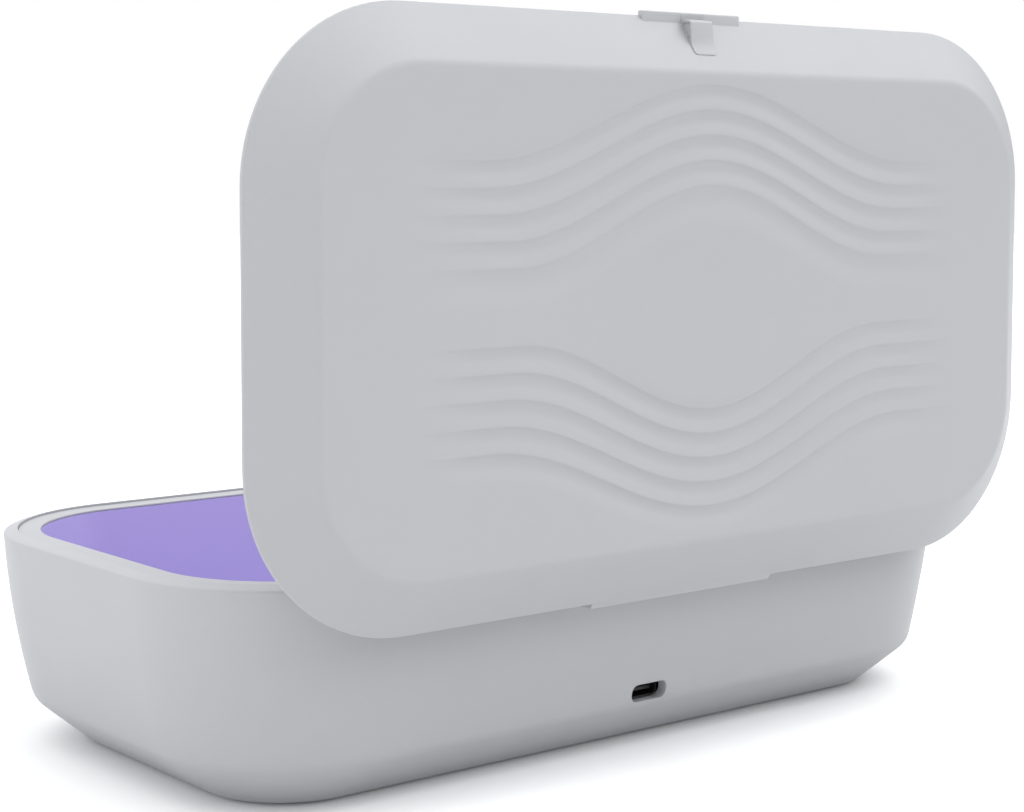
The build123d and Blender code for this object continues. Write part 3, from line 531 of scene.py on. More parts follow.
def base_shell_piece():
    """The base's moulded shell: outer wall, rim and inner wall, with its openings cut."""
    bm = bmesh.new()
    points = outline(BASE_SIZE)
    profile = rounded([
        (SOLE_INSET + SOLE_MARGIN, FOOT_PROUD, 0),
        (SOLE_INSET, FOOT_PROUD, SOLE_ROUND),
        (BELLY_INSET, BELLY_Z, BELLY_ROUND),
        (0, CREASE_Z, CREASE_ROUND),
        (RIM_BAND, RIM_Z, RIM_ROUND),
        (SEAT_INSET, RIM_Z, 0.15),
        (SEAT_INSET, SEAT_Z, 0.3),
        (INNER_CREASE, BELLY_Z + INNER_RISE, 3.0),
        (SOLE_INSET - FLARE * WALL + BAND_RUN, FOOT_PROUD + WALL, 0.6),
        (SOLE_INSET + SOLE_MARGIN, FOOT_PROUD + WALL, 0),
    ])
    # extra rings let the outer wall swell between its crease and its belly
    foot = next(i for i, point in enumerate(profile) if point[1] > BELLY_Z + SWELL_MARGIN)
    (low_in, low_z), (high_in, high_z) = profile[foot], profile[foot + 1]
    steps = [
        (low_in + (high_in - low_in) * i / SWELL_STEPS, low_z + (high_z - low_z) * i / SWELL_STEPS)
        for i in range(1, SWELL_STEPS)
    ]
    outer = profile[:foot + 1] + steps + profile[foot + 1:foot + 3]
    rings = profile_rings(bm, BASE_SIZE, outer, points, wall_swell)
    rings += profile_rings(bm, BASE_SIZE, profile[foot + 3:], points)
    capped_skin(bm, rings)
    shell = as_object("base_shell_look", bm)
    cut_hinge_notch(shell)
    cut_clasp_pocket(shell)
    cut_scoop(shell)
    cut_plug_slot(shell)
    cut(shell, as_object("button_hole", front_wall_lathe(BUTTON_HOLE)))
    finish_mesh(shell, "base_shell_look", shell_plastic, "base", ("base_shell",), 32)


def cut_hinge_notch(shell):
    """The notch in the rear wall that the hinge lug turns in."""
    half, size = LUG_LENGTH / 2 + HINGE_END_GAP, 30
    y0, z0 = HINGE_Y - LUG_R, HINGE_Z - LUG_R - HINGE_GAP
    notch = [(y0, z0), (y0 + size, z0), (y0 + size, z0 + size), (y0, z0 + size)]
    cut(shell, as_object("notch", prism(notch, -half, half)))


def cut_clasp_pocket(shell):
    """The pocket in the front wall that the clasp swings into, with a boss behind it."""
    boss_z = RIM_Z - BOSS_DROP
    boss_inset = wall_inset(boss_z)
    boss = [
        (boss_inset + 1, boss_z), (boss_inset + BOSS_DEPTH, boss_z),
        (SEAT_INSET + 3, SEAT_Z - 0.1), (1, SEAT_Z - 0.1)
    ]
    boss = [(y - BOX_DEPTH / 2, z) for y, z in boss]
    cut(shell, as_object("boss", prism(boss, -BOSS_HALF, BOSS_HALF)), "UNION")
    pocket = []
    for step in range(POCKET_STEPS):
        direction = step * 2 * pi / POCKET_STEPS
        reach = LIP_HEIGHT / 2 + POCKET_GAP
        for turn in POCKET_TURNS:
            reach = max(reach, clasp_reach(direction - radians(turn)) + POCKET_GAP)
        pocket.append((CLASP_Y + reach * cos(direction), CLASP_Z + reach * sin(direction)))
    half = WEDGE_WIDTH / 2 + POCKET_GAP
    cut(shell, as_object("pocket", prism(pocket, -half, half)))


def cut_scoop(shell):
    """The scoop for a fingertip under the clasp."""
    z = RIM_Z - SCOOP_DROP
    place = (0, wall_inset(z) - BOX_DEPTH / 2 - SCOOP_R + SCOOP_DEPTH, z)
    bm = bmesh.new()
    bmesh.ops.create_uvsphere(bm, u_segments=96, v_segments=64, radius=SCOOP_R)
    bmesh.ops.translate(bm, verts=bm.verts, vec=place)
    cut(shell, as_object("scoop", bm))


def cut_plug_slot(shell):
    """The slot for the power plug, with a small chamfer at its mouth."""
    usb_z = RIM_Z - USB_DROP
    usb_y = BOX_DEPTH / 2 - wall_inset(usb_z)
    bm = bmesh.new()
    rings = []
    for depth, grow in ((0.6, 0.75), (-0.16, 0.0), (-9.0, 0.0)):
        lean = DRAFT if depth > -1 else 0
        around = slot_outline(USB_LENGTH + 2 * grow, USB_HEIGHT + 2 * grow, USB_ROUND + grow)
        ring = [bm.verts.new((USB_X + x, usb_y + depth + z * lean, usb_z + z)) for x, z in around]
        rings.append(ring)
    capped_skin(bm, rings)
    cut(shell, as_object("slot", bm))


def slot_outline(length, height, radius, steps=8):
    """Points round a slot with rounded corners."""
    x, z = length / 2 - radius, height / 2 - radius
    return corner_arcs([(x, z), (-x, z), (-x, -z), (x, -z)], radius, 0, steps)


# ---- clasp outlines, drawn about the clasp's pin with the lid closed ----

def lip_outline(bury=0.0, steps=5):
    """The lip's rounded (y, z) section; bury carries its inner side into the slope."""
    y, z = LIP_WIDTH / 2 - LIP_ROUND, LIP_HEIGHT / 2 - LIP_ROUND
    corners = [(y + bury, -z), (y + bury, z), (-y, z), (-y, -z)]
    return corner_arcs(corners, LIP_ROUND, -1, steps)


def clasp_frame():
    """Directions along and away from the lid's slope, and the underside's distance from the pin."""
    angle = atan2(1, LID_SLOPE)
    along = Vector((cos(angle), sin(angle)))
    away = Vector((-sin(angle), cos(angle)))
    foot = Vector((-LID_DEPTH / 2 - CLASP_Y, LID_Z + LID_EDGE - CLASP_Z))
    return along, away, foot.dot(away) + TONGUE_LIFT


def wedge_outline():
    """The wedge's (y, z) outline, where it lies on the lid's slope."""
    along, away, under = clasp_frame()
    tip_over = along * TONGUE_LENGTH + away * (under + TONGUE_TIP)
    tip_under = along * TONGUE_LENGTH + away * under
    neck = away * under + along * NECK_REACH
    return [
        (SHOULDER, 0.0),
        (neck.x, neck.y),
        (tip_under.x, tip_under.y),
        (tip_over.x, tip_over.y),
        (FRONT_REACH, SHOULDER_HEIGHT + FRONT_LEAN),
        (SHOULDER + SHOULDER_LEAN + SHOULDER_CHAMFER, SHOULDER_HEIGHT),
        (SHOULDER + SHOULDER_LEAN, SHOULDER_HEIGHT - SHOULDER_CHAMFER),
    ]


def clasp_reach(direction):
    """How far the wedge reaches from the clasp's pin in a direction."""
    ray = Vector((cos(direction), sin(direction)))
    points = [Vector(p) for p in wedge_outline()]
    far = 0.0
    for a, b in zip(points, points[1:] + points[:1]):
        edge = b - a
        cross = ray.x * edge.y - ray.y * edge.x
        if abs(cross) < 1e-9:
            continue
        reach = (a.x * edge.y - a.y * edge.x) / cross
        share = (a.x * ray.y - a.y * ray.x) / cross
        if 0 <= share <= 1:
            far = max(far, reach)
    return far


# ---- the front wall's own plane, for the button and its ring ----
BUTTON_Z = RIM_Z - BUTTON_DROP
BUTTON_PLACE = Vector((BUTTON_X, wall_inset(BUTTON_Z) - BOX_DEPTH / 2, BUTTON_Z))
WALL_OUT = Vector((0, -1, -DRAFT)).normalized()


def front_wall_lathe(profile, steps=72):
    """A turned shape on the front wall; the profile is (radius, height outwards)."""
    bm = bmesh.new()
    side = Vector((1, 0, 0))
    up = WALL_OUT.cross(side)
    rings = []
    for radius, height in profile:
        centre = BUTTON_PLACE + WALL_OUT * height
        if radius == 0:
            rings.append([bm.verts.new(centre)])
            continue
        ring = []
        for step in range(steps):
            angle = step * 2 * pi / steps
            ring.append(bm.verts.new(centre + (side * cos(angle) + up * sin(angle)) * radius))
        rings.append(ring)
    turned_skin(bm, rings, steps)
    bmesh.ops.recalc_face_normals(bm, faces=bm.faces)
    return bm


def button_pieces():
    """The push button, dished for a fingertip, and the light ring round it."""
    cap = rounded([
        (BUTTON_DISH_R, 0.62, 0), (5.6, 0.9, 0.5), (5.6, -3.8, 0),
        (6.6, -3.8, 0.2), (6.6, -4.8, 0.2), (5.0, -4.8, 0)
    ])
    dish = [(BUTTON_DISH_R * s / 6, BUTTON_DISH_RISE + 0.07 * (s / 6) ** 2) for s in range(6)]
    button = as_object("power_button_look", front_wall_lathe(dish + cap + [(0, -4.8)]))
    finish_mesh(
        button, "power_button_look", button_plastic, "power_button", ("power_button",))
    ring_profile = rounded([
        (5.9, -3.5, 0), (5.9, 0.2, 0.25), (7.5, 0.2, 0.2),
        (7.5, -2.5, 0), (8.7, -2.5, 0.2), (8.7, -3.5, 0)
    ])
    bm = front_wall_lathe(ring_profile + [(5.9, -3.5)])
    bmesh.ops.remove_doubles(bm, verts=bm.verts, dist=0.0001)
    bmesh.ops.recalc_face_normals(bm, faces=bm.faces)
    ring = as_object("light_ring_look", bm)
    finish_mesh(ring, "light_ring_look", light_guide, "base", ("light_ring",))


# ---- chamber ----
FLANGE_Z = RING_Z - RING_THICKNESS
FRAME_LIP_Z = RING_Z - 0.5
# the floor's profile runs in past the corner's centre
TRAY_MIDDLE = 44.0


def tray_inset(z):
    """Inset of the tray's outer wall at a height."""
    return CHAMBER_INSET - TRAY_WALL + CHAMBER_DRAFT * (RING_Z - z)


def tray_piece(points):
    """The violet chamber tray, with its flange, stepped lamp holes and relief for the hinge lug."""
    under = FLOOR_Z - TRAY_WALL
    inner = rounded([
        (SEAT_INSET + 0.2, SEAT_Z, 0),
        (SEAT_INSET + 0.2, FLANGE_Z, 0),
        (CHAMBER_INSET - 0.3, FLANGE_Z, 0),
        (CHAMBER_INSET - 0.3, FRAME_LIP_Z - 0.05, 0),
        (tray_inset(FRAME_LIP_Z) + TRAY_WALL, FRAME_LIP_Z - 0.05, 0.1),
        (tray_inset(FLOOR_Z) + TRAY_WALL, FLOOR_Z, CHAMBER_ROUND),
        (TRAY_MIDDLE, FLOOR_Z, 0),
    ], 14)
    outer = rounded([
        (TRAY_MIDDLE, under, 0),
        (tray_inset(under), under, CHAMBER_ROUND + TRAY_WALL),
        (tray_inset(SEAT_Z), SEAT_Z, 0.5),
        (SEAT_INSET + 0.2, SEAT_Z, 0),
    ], 8)
    # rings stop short of the corner's centre, and one face closes the floor
    inner = [p for p in inner if p[0] < BOX_CORNER - 1]
    outer = [p for p in outer[:-1] if p[0] < BOX_CORNER - 1]
    bm = bmesh.new()
    rings = profile_rings(bm, BASE_SIZE, inner, points)
    back = profile_rings(bm, BASE_SIZE, outer, points)
    ring_skin(bm, rings)
    ring_skin(bm, back + [rings[0]])
    bm.faces.new(rings[-1])
    bm.faces.new(back[0])
    bmesh.ops.recalc_face_normals(bm, faces=bm.faces)
    tray = as_object("chamber_tray_look", bm)
    top = FLOOR_Z + 1
    for x in WINDOW_PLACES:
        for radius, low in ((WINDOW_R, under - 1), (WINDOW_SEAT_R, FLOOR_Z - WINDOW_SEAT)):
            bm = bmesh.new()
            bmesh.ops.create_cone(
                bm, cap_ends=True, segments=48, radius1=radius, radius2=radius, depth=top - low)
            bmesh.ops.translate(bm, verts=bm.verts, vec=(x, 0, (top + low) / 2))
            cut(tray, as_object("window_hole", bm))
    half = LUG_LENGTH / 2 + HINGE_END_GAP
    relief = circle(HINGE_Y, HINGE_Z, LUG_R + HINGE_GAP, 40)
    cut(tray, as_object("relief", prism(relief, -half, half)))
    finish_mesh(
        tray, "chamber_tray_look", chamber_violet, "base", ("chamber_tray",), 30)


def rim_frame_piece(points):
    """The flat frame between the rim and the chamber, which covers the tray's flange."""
    bm = bmesh.new()
    profile = rounded([
        (SEAT_INSET + 0.1, FLANGE_Z + 0.5, 0),
        (SEAT_INSET + 0.1, RING_Z, 0.2),
        (CHAMBER_INSET, RING_Z, 0.25),
        (CHAMBER_INSET, FRAME_LIP_Z, 0.1),
        (CHAMBER_INSET - 0.35, FRAME_LIP_Z, 0),
        (CHAMBER_INSET - 0.35, FLANGE_Z + 0.05, 0),
        (SEAT_INSET + 0.1, FLANGE_Z + 0.05, 0),
        (SEAT_INSET + 0.1, FLANGE_Z + 0.5, 0),
    ], 4)
    rings = profile_rings(bm, BASE_SIZE, profile[:-1], points)
    ring_skin(bm, rings, closed=True)
    bmesh.ops.recalc_face_normals(bm, faces=bm.faces)
    rim = as_object("rim_frame_look", bm)
    finish_mesh(rim, "rim_frame_look", rim_plastic, "base", ("rim_frame",))


def rest_ribs():
    """Ribs on the chamber floor, one rounded bar repeated along X by a node tree."""
    tree = bpy.data.node_groups.new("rest_ribs", "GeometryNodeTree")
    sockets = tree.interface
    sockets.new_socket("Geometry", in_out="OUTPUT", socket_type="NodeSocketGeometry")
    sizes = {"Count": 6, "Pitch": 26.0, "Length": 64.0, "Width": 2.4, "Height": 2.0, "Floor": FLOOR_Z}
    for label in sizes:
        kind = "NodeSocketInt" if label == "Count" else "NodeSocketFloat"
        sockets.new_socket(label, in_out="INPUT", socket_type=kind)
    given = tree.nodes.new("NodeGroupInput")
    out = tree.nodes.new("NodeGroupOutput")
    add = tree.nodes.new
    link = tree.links.new

    def calc(operation, a, b):
        return math_node(tree, operation, a, b)

    def triple(x, y, z):
        return wired(tree, add("ShaderNodeCombineXYZ"), (x, y, z))

    radius = calc("MULTIPLY", given.outputs["Width"], 0.5)
    straight = calc("SUBTRACT", given.outputs["Length"], given.outputs["Width"])
    half = calc("MULTIPLY", straight, 0.5)
    line = add("GeometryNodeCurvePrimitiveLine")
    link(triple(0, calc("MULTIPLY", half, -1), 0), line.inputs["Start"])
    link(triple(0, half, 0), line.inputs["End"])
    section = add("GeometryNodeCurvePrimitiveCircle")
    section.inputs["Resolution"].default_value = 24
    link(radius, section.inputs["Radius"])
    tube = add("GeometryNodeCurveToMesh")
    link(line.outputs["Curve"], tube.inputs["Curve"])
    link(section.outputs["Curve"], tube.inputs["Profile Curve"])
    join = add("GeometryNodeJoinGeometry")
    link(tube.outputs["Mesh"], join.inputs["Geometry"])
    for side in (-1, 1):
        end = add("GeometryNodeMeshUVSphere")
        end.inputs["Segments"].default_value = 24
        end.inputs["Rings"].default_value = 16
        link(radius, end.inputs["Radius"])
        move = add("GeometryNodeTransform")
        link(end.outputs["Mesh"], move.inputs["Geometry"])
        link(triple(0, calc("MULTIPLY", half, side), 0), move.inputs["Translation"])
        link(move.outputs["Geometry"], join.inputs["Geometry"])
    row = add("GeometryNodeMeshLine")
    row.mode = "OFFSET"
    link(given.outputs["Count"], row.inputs["Count"])
    link(triple(given.outputs["Pitch"], 0, 0), row.inputs["Offset"])
    gaps = calc("SUBTRACT", given.outputs["Count"], 1)
    first = calc("MULTIPLY", calc("MULTIPLY", gaps, given.outputs["Pitch"]), -0.5)
    crown = calc("SUBTRACT", calc("ADD", given.outputs["Floor"], given.outputs["Height"]), radius)
    link(triple(first, 0, crown), row.inputs["Start Location"])
    spread = add("GeometryNodeInstanceOnPoints")
    link(row.outputs["Mesh"], spread.inputs["Points"])
    link(join.outputs["Geometry"], spread.inputs["Instance"])
    real = add("GeometryNodeRealizeInstances")
    link(spread.outputs["Instances"], real.inputs["Geometry"])
    paint = add("GeometryNodeSetMaterial")
    paint.inputs["Material"].default_value = chamber_violet
    link(real.outputs["Geometry"], paint.inputs["Geometry"])
    link(paint.outputs["Geometry"], out.inputs["Geometry"])

    ribs = as_object("rest_ribs", bmesh.new())
    modifier = ribs.modifiers.new("ribs", "NODES")
    modifier.node_group = tree
    for item in tree.interface.items_tree:
        if item.in_out == "INPUT":
            modifier[item.identifier] = sizes[item.name]
    applied(ribs)
    finish_mesh(ribs, "rest_ribs", chamber_violet, "base")


# ---- lid ----

def bump(x, half):
    """A smooth hill, one at the middle and nothing beyond half."""
    return 0.5 + 0.5 * cos(pi * min(abs(x) / half, 1.0))


def wave_line(x, count):
    """How far from the middle a line between two flutes crosses a column of the face."""
    return WAVE_NEAR + WAVE_PITCH * count + WAVE_RISE * bump(x, WAVE_HALF + WAVE_SPREAD * count)


def wave_depth(x):
    """Depth of the flutes along the face, deepest at the crest and gone well before the ends."""
    t = max(0.0, min(1.0, (abs(x) - WAVE_FADE_START) / (WAVE_FADE_END - WAVE_FADE_START)))
    deep = WAVE_END_DEPTH + (WAVE_DEPTH - WAVE_END_DEPTH) * bump(x, WAVE_HALF)
    return deep * (1 - t * t * (3 - 2 * t))


def flute(distance, width):
    """Share of the full depth across a flute, which falls off at its front line and rises slowly."""
    fall = (hypot(distance, WAVE_SOFT) - WAVE_SOFT) / (hypot(width, WAVE_SOFT) - WAVE_SOFT)
    # 6.75 brings the deepest point, a third of the way across, to 1
    return 6.75 * fall * (1 - fall) ** 2


def face_column(x, limit):
    """One column of the face as (y, height), from the front edge to the rear."""
    deep = wave_depth(x)
    lines = [wave_line(x, i) for i in range(WAVE_COUNT + 1)]
    column = []
    for side in (-1, 1):
        # the flute nearest the middle trails off further than the rest in the front group
        marks = [lines[0] - (WAVE_TRAIL if side < 0 else 0)] + lines[1:]
        half = [(marks[0] * s / 9, 0.0) for s in range(9)]
        for low, high in zip(marks, marks[1:]):
            width = high - low
            drops = [(width * t, -deep * flute(width * t, width)) for t in FLUTE_STEPS]
            if side > 0:
                half += [(low + y, h) for y, h in drops]
            else:
                half.append((low, 0.0))
                half += [(high - y, h) for y, h in reversed(drops[1:])]
        half += [(lines[-1] + (FLAT_HALF_Y - lines[-1]) * s / 5, 0.0) for s in range(6)]
        column = column + half[1:] if side > 0 else [(-y, h) for y, h in reversed(half)]
    scale = limit / FLAT_HALF_Y
    return [(y * scale + WAVE_MIDDLE * (1 - (y / FLAT_HALF_Y) ** 2), h) for y, h in column]


def lid_cover():
    """The lid's cover: face with its relief, soft crease, slope, edge and inside."""
    bm = bmesh.new()
    corner_steps, straight_steps = 26, 190
    straight = FLAT_HALF_X - FLAT_CORNER
    columns = [-straight + 2 * straight * i / straight_steps for i in range(straight_steps + 1)]
    arc = [straight + FLAT_CORNER * sin(pi / 2 * i / corner_steps) for i in range(1, corner_steps + 1)]
    columns = [-x for x in reversed(arc)] + columns + arc
    grid = []
    for x in columns:
        over = max(0.0, abs(x) - straight)
        limit = FLAT_HALF_Y - FLAT_CORNER + sqrt(max(0.0, FLAT_CORNER**2 - over**2))
        grid.append([bm.verts.new((x, y, LID_Z + LID_HEIGHT + h)) for y, h in face_column(x, limit)])
    for left, right in zip(grid, grid[1:]):
        for i in range(len(left) - 1):
            bm.faces.new((left[i], right[i], right[i + 1], left[i + 1]))
    edge = [column[0] for column in grid] + grid[-1][1:]
    edge += [column[-1] for column in reversed(grid[:-1])] + list(reversed(grid[0][1:-1]))
    # the same points on the widest outline, so that every ring below has them
    drop = [v.co.z - LID_Z - LID_HEIGHT for v in edge]
    flat_size = (2 * FLAT_HALF_X, 2 * FLAT_HALF_Y, FLAT_CORNER)
    wide = [outline_point(v.co.x, v.co.y, -FLAT_INSET, flat_size) for v in edge]
    profile = rounded([
        (FLAT_INSET + 1, LID_HEIGHT, 0),
        (FACE_INSET, LID_HEIGHT, FACE_ROUND),
        (0, LID_EDGE, 0.45),
        (0, 0, 0.3),
        (LID_LAND, 0, 0.2),
        (LID_LAND + LID_SLOPE * LID_CEILING, LID_CEILING, 0),
    ], 10)[2:]
    rings = [edge]
    for inset, z in profile:
        # any drop of the face's edge fades out over the soft crease
        share = max(0.0, min(1.0, (inset - FACE_INSET + 4.5) / 5.0)) if z > LID_EDGE + 0.8 else 0.0
        ring = []
        for (x, y), h in zip(wide, drop):
            px, py = outline_point(x, y, inset, LID_SIZE)
            ring.append(bm.verts.new((px, py, LID_Z + z + h * share)))
        rings.append(ring)
    ring_skin(bm, rings)
    bm.faces.new(rings[-1])
    bmesh.ops.recalc_face_normals(bm, faces=bm.faces)
    return as_object("lid_shell_look", bm)


def hinge_lug():
    """The hinge lug, which carries the lid's slope out past the rear edge."""
    lug_y = HINGE_Y + LUG_R
    inner_y = lug_y - LUG_WEB
    lug = [(inner_y, LID_Z + LID_EDGE + (LID_DEPTH / 2 - inner_y) / LID_SLOPE - 0.05)]
    lug += [(inner_y, HINGE_Z + HUB_R)]
    steps = 12
    for step in range(steps + 1):
        angle = radians(LUG_START + (270 - LUG_START) * step / steps)
        lug.append((HINGE_Y + HUB_R * cos(angle), HINGE_Z + HUB_R * sin(angle)))
    for step in range(1, steps + 1):
        angle = radians(-90 + 90 * step / steps)
        lug.append((HINGE_Y + LUG_R * cos(angle), HINGE_Z + LUG_R * sin(angle)))
    lug.append((lug_y, LID_Z + LID_EDGE - (lug_y - LID_DEPTH / 2) / LID_SLOPE))
    piece = as_object("lug", prism(lug, -LUG_LENGTH / 2, LUG_LENGTH / 2))
    bevelled(piece, 0.3, 3, 60)
    return piece


def lid_shell_piece():
    """The lid's cover with its hinge lug and the lip that holds the clasp."""
    lid, lug = lid_cover(), hinge_lug()
    lip_points = [(CLASP_Y + y, CLASP_Z + z) for y, z in lip_outline(LIP_BURY)]
    lip = as_object("lip", prism(lip_points, -LIP_LENGTH / 2, LIP_LENGTH / 2))
    bevelled(lip, 0.25, 3, 60)
    slot = circle(CLASP_Y, CLASP_Z, SLOT_R, 48)
    for piece in (lip, lid):
        cut(piece, as_object("slot", prism(slot, -SLOT_WIDTH / 2, SLOT_WIDTH / 2)))
    for piece in (lid, lug, lip):
        swung_open(piece)
    join(lid, lug, lip)
    finish_mesh(lid, "lid_shell_look", shell_plastic, "lid", ("lid_shell",), 24)


def wedge_shield():
    """A block with soft corners, which open out towards the front, that trims the wedge."""
    bm = bmesh.new()
    rings = []
    half, tip = WEDGE_WIDTH / 2, CLASP_Y + TONGUE_LENGTH - 1.65
    sections = ((-1.0, 0.05, 0.15), (1.0, 0.05, 0.15), (SHOULDER_HEIGHT + 2, 0.45, WEDGE_ROUND))
    for rise, start, start_round in sections:
        ring = []
        for turn, (sx, sy) in enumerate([(1, 1), (-1, 1), (-1, -1), (1, -1)]):
            radius = WEDGE_ROUND if sy > 0 else start_round
            cx = sx * (half - radius)
            cy = tip - radius if sy > 0 else CLASP_Y + start + radius
            for step in range(9):
                angle = (turn + step / 8) * pi / 2
                x, y = cx + radius * cos(angle), cy + radius * sin(angle)
                ring.append(bm.verts.new((x, y, CLASP_Z + rise)))
        rings.append(ring)
    capped_skin(bm, rings)
    return as_object("shield", bm)


def clasp_piece():
    """The flip clasp: a knuckle flush with the lip, and a wedge with a cored pocket in each side."""
    half = WEDGE_WIDTH / 2

    def placed(points):
        return [(CLASP_Y + y, CLASP_Z + z) for y, z in points]

    body = as_object("clasp_look", prism(placed(wedge_outline()), -half, half))
    cut(body, wedge_shield(), "INTERSECT")
    bevelled(body, 0.05, 3, 28)
    # the pocket keeps an even wall to the wedge's underside and top
    along, away, under = clasp_frame()
    floor = away * (under + WEDGE_WALL)
    left = SHOULDER + SHOULDER_LEAN + 0.45
    top = SHOULDER_HEIGHT - WEDGE_WALL
    low = floor + along * (left - floor.x) / along.x
    far = floor + along * (top - floor.y) / along.y
    middle = (left, (low.y + top) / 2, 0)
    pocket = rounded([middle, (left, low.y, 0.1), (far.x, top, 0.1), (left, top, 0.25), middle])
    pocket = placed(pocket[:-1])
    for side in (-1, 1):
        cut(body, as_object("pocket", prism(pocket, side * WEDGE_WEB / 2, side * (half + 1))))
    knuckle = prism(placed(lip_outline()), -KNUCKLE_WIDTH / 2, KNUCKLE_WIDTH / 2)
    cut(body, as_object("knuckle", knuckle), "UNION")
    bore = circle(CLASP_Y, CLASP_Z, CLASP_BORE, 32)
    cut(body, as_object("bore", prism(bore, -half - 1, half + 1)))
    swung_open(body)
    finish_mesh(body, "clasp_look", shell_plastic, "clasp", ("clasp",), 30)


def rubber_feet_piece():
    """Four turned rubber feet with a shallow dish."""
    bm = bmesh.new()
    steps = 48
    for x, y in FOOT_PLACES:
        rings = []
        for radius, z in FOOT_PROFILE:
            around = circle(x, y, radius, steps)[:1 if radius == 0 else steps]
            rings.append([bm.verts.new((px, py, z)) for px, py in around])
        turned_skin(bm, rings, steps)
    bmesh.ops.recalc_face_normals(bm, faces=bm.faces)
    feet = as_object("rubber_feet_look", bm)
    finish_mesh(feet, "rubber_feet_look", dark_rubber, "base", ("rubber_feet",))


base_shell_piece()
button_pieces()
base_points = outline(BASE_SIZE)
tray_piece(base_points)
rim_frame_piece(base_points)
rest_ribs()
lid_shell_piece()
clasp_piece()
rubber_feet_piece()

# pieces that keep the solid's own shape: material, body and slot
copies = {
    "lid_liner": (liner_plastic, "lid", "liner_plastic"),
    "lid_gasket": (seal_rubber, "lid", "gasket_rubber"),
    "lid_reflector": (reflector_metal, "lid", "reflector_metal"),
    "lid_screws": (steel, "lid", "steel"),
    "lid_magnet": (steel, "lid", "steel"),
    "clasp_pin": (steel, "lid", "steel"),
    "hinge_pins": (steel, "base", "steel"),
    "tray_screws": (steel, "base", "steel"),
    "lamp_screws": (steel, "base", "steel"),
    "board_screws": (steel, "base", "steel"),
    "usb_socket": (socket_dark, "base", "steel"),
    "uv_lamps": (lamp_ceramic, "base", "lamp_ceramic"),
    "lamp_windows": (window_glass, "base", "window_glass"),
    "lamp_board_left": (board_green, "base", "board_green"),
    "lamp_board_right": (board_green, "base", "board_green"),
    "main_board": (board_green, "base", "board_green"),
    "button_board": (board_green, "base", "board_green"),
    "board_chips": (chip_black, "base", "chip_black"),
    "lid_switch": (chip_black, "base", "chip_black"),
    "tact_switch": (chip_black, "base", "chip_black"),
}
for node, (material, body, slot_name) in copies.items():
    smooth_copy(node, node + "_look", material, body)


def pale_floor():
    """A pale floor that shows white to the eye and keeps the object's shadow."""
    bm = bmesh.new()
    bmesh.ops.create_grid(bm, x_segments=1, y_segments=1, size=FLOOR_SIZE)
    floor = as_object("floor", bm)
    material = bpy.data.materials.new("floor")
    material.use_nodes = True
    tree = material.node_tree
    shader = tree.nodes["Principled BSDF"]
    shader.inputs["Roughness"].default_value = 0.9
    shader.inputs["Specular IOR Level"].default_value = 0.0
    path = tree.nodes.new("ShaderNodeLightPath")
    mix = tree.nodes.new("ShaderNodeMix")
    mix.data_type = "RGBA"
    mix.inputs["A"].default_value = (FLOOR_TONE, FLOOR_TONE, FLOOR_TONE, 1)
    mix.inputs["B"].default_value = (FLOOR_SEEN, FLOOR_SEEN, FLOOR_SEEN, 1)
    tree.links.new(path.outputs["Is Camera Ray"], mix.inputs["Factor"])
    tree.links.new(mix.outputs["Result"], shader.inputs["Base Color"])
    # the floor glows a little for the object alone, as a lit table does
    glow = tree.nodes.new("ShaderNodeMapRange")
    glow.inputs["To Min"].default_value = FLOOR_GLOW
    glow.inputs["To Max"].default_value = 0.0
    tree.links.new(path.outputs["Is Camera Ray"], glow.inputs["Value"])
    shader.inputs["Emission Color"].default_value = (1, 1, 1, 1)
    tree.links.new(glow.outputs["Result"], shader.inputs["Emission Strength"])
    floor.data.materials.append(material)


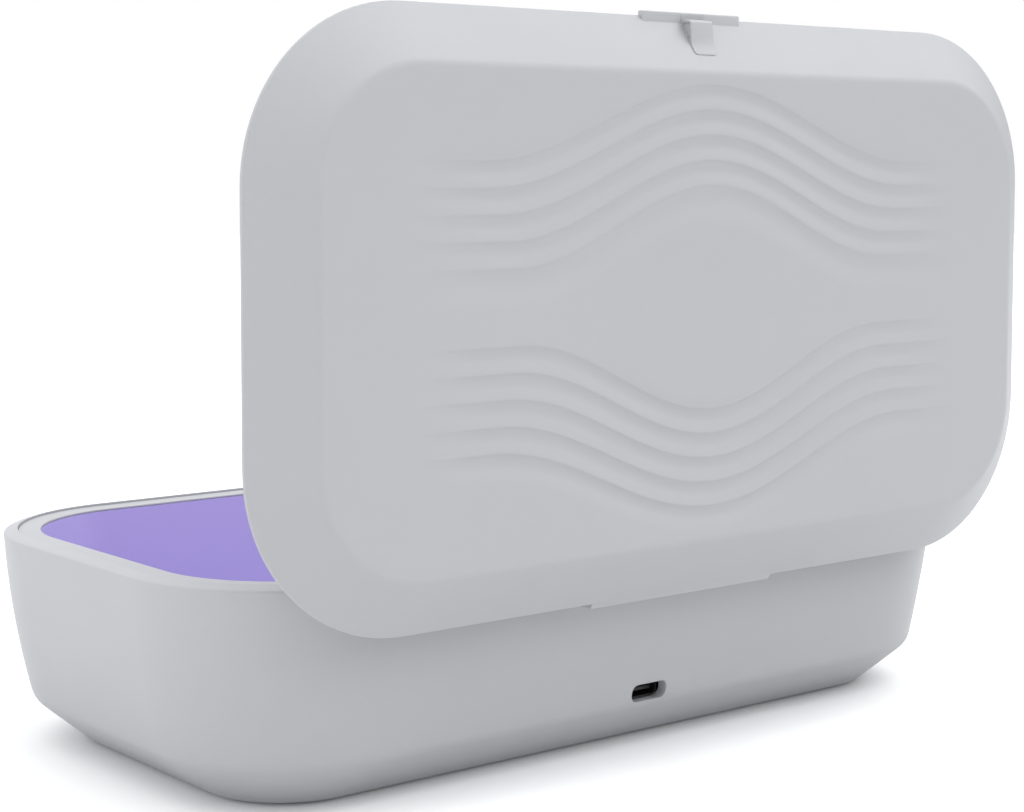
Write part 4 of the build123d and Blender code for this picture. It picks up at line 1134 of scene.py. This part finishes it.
def soft_world():
    """Soft studio light: a little from all round, and a few broad lobes."""
    world = bpy.data.worlds.new("studio")
    bpy.context.scene.world = world
    world.use_nodes = True
    tree = world.node_tree
    tree.nodes.clear()
    place = tree.nodes.new("ShaderNodeTexCoord")
    total = SKY_EVEN
    for towards, narrowness, strength in SKY_LOBES:
        dot = tree.nodes.new("ShaderNodeVectorMath")
        dot.operation = "DOT_PRODUCT"
        dot.inputs[1].default_value = Vector(towards).normalized()
        tree.links.new(place.outputs["Generated"], dot.inputs[0])
        facing = math_node(tree, "MAXIMUM", dot.outputs["Value"], 0.0)
        lobe = math_node(tree, "POWER", facing, narrowness)
        total = math_node(tree, "ADD", math_node(tree, "MULTIPLY", lobe, strength), total)
    out = tree.nodes.new("ShaderNodeOutputWorld")
    light = tree.nodes.new("ShaderNodeBackground")
    white = tree.nodes.new("ShaderNodeBackground")
    light.inputs["Color"].default_value = (0.98, 0.99, 1.0, 1)
    tree.links.new(total, light.inputs["Strength"])
    white.inputs["Color"].default_value = (1, 1, 1, 1)
    white.inputs["Strength"].default_value = 1.0
    path = tree.nodes.new("ShaderNodeLightPath")
    mix = tree.nodes.new("ShaderNodeMixShader")
    tree.links.new(path.outputs["Is Camera Ray"], mix.inputs["Fac"])
    tree.links.new(light.outputs["Background"], mix.inputs[1])
    tree.links.new(white.outputs["Background"], mix.inputs[2])
    tree.links.new(mix.outputs["Shader"], out.inputs["Surface"])


def show_camera():
    """The camera, low behind the +X end, so that it sees the lid's face and the chamber."""
    data = bpy.data.cameras.new("camera")
    data.sensor_fit = "HORIZONTAL"
    data.sensor_width = 36.0
    data.lens = CAMERA_LENS
    data.shift_x, data.shift_y = CAMERA_SHIFT
    data.clip_start = 0.01
    data.clip_end = 20
    camera = bpy.data.objects.new("camera", data)
    yaw, pitch, roll = radians(CAMERA_YAW), radians(CAMERA_PITCH), radians(CAMERA_ROLL)
    forward = Vector((-sin(yaw) * cos(pitch), -cos(yaw) * cos(pitch), -sin(pitch)))
    right = forward.cross(Vector((0, 0, 1))).normalized()
    up = right.cross(forward)
    side = right * cos(roll) + up * sin(roll)
    top = up * cos(roll) - right * sin(roll)
    turn = Matrix((side, top, -forward)).transposed().to_4x4()
    camera.matrix_world = Matrix.Translation(CAMERA_PLACE) @ turn
    bpy.context.scene.collection.objects.link(camera)
    bpy.context.scene.camera = camera


pale_floor()
soft_world()
show_camera()
bpy.context.scene.view_settings.view_transform = "Standard"
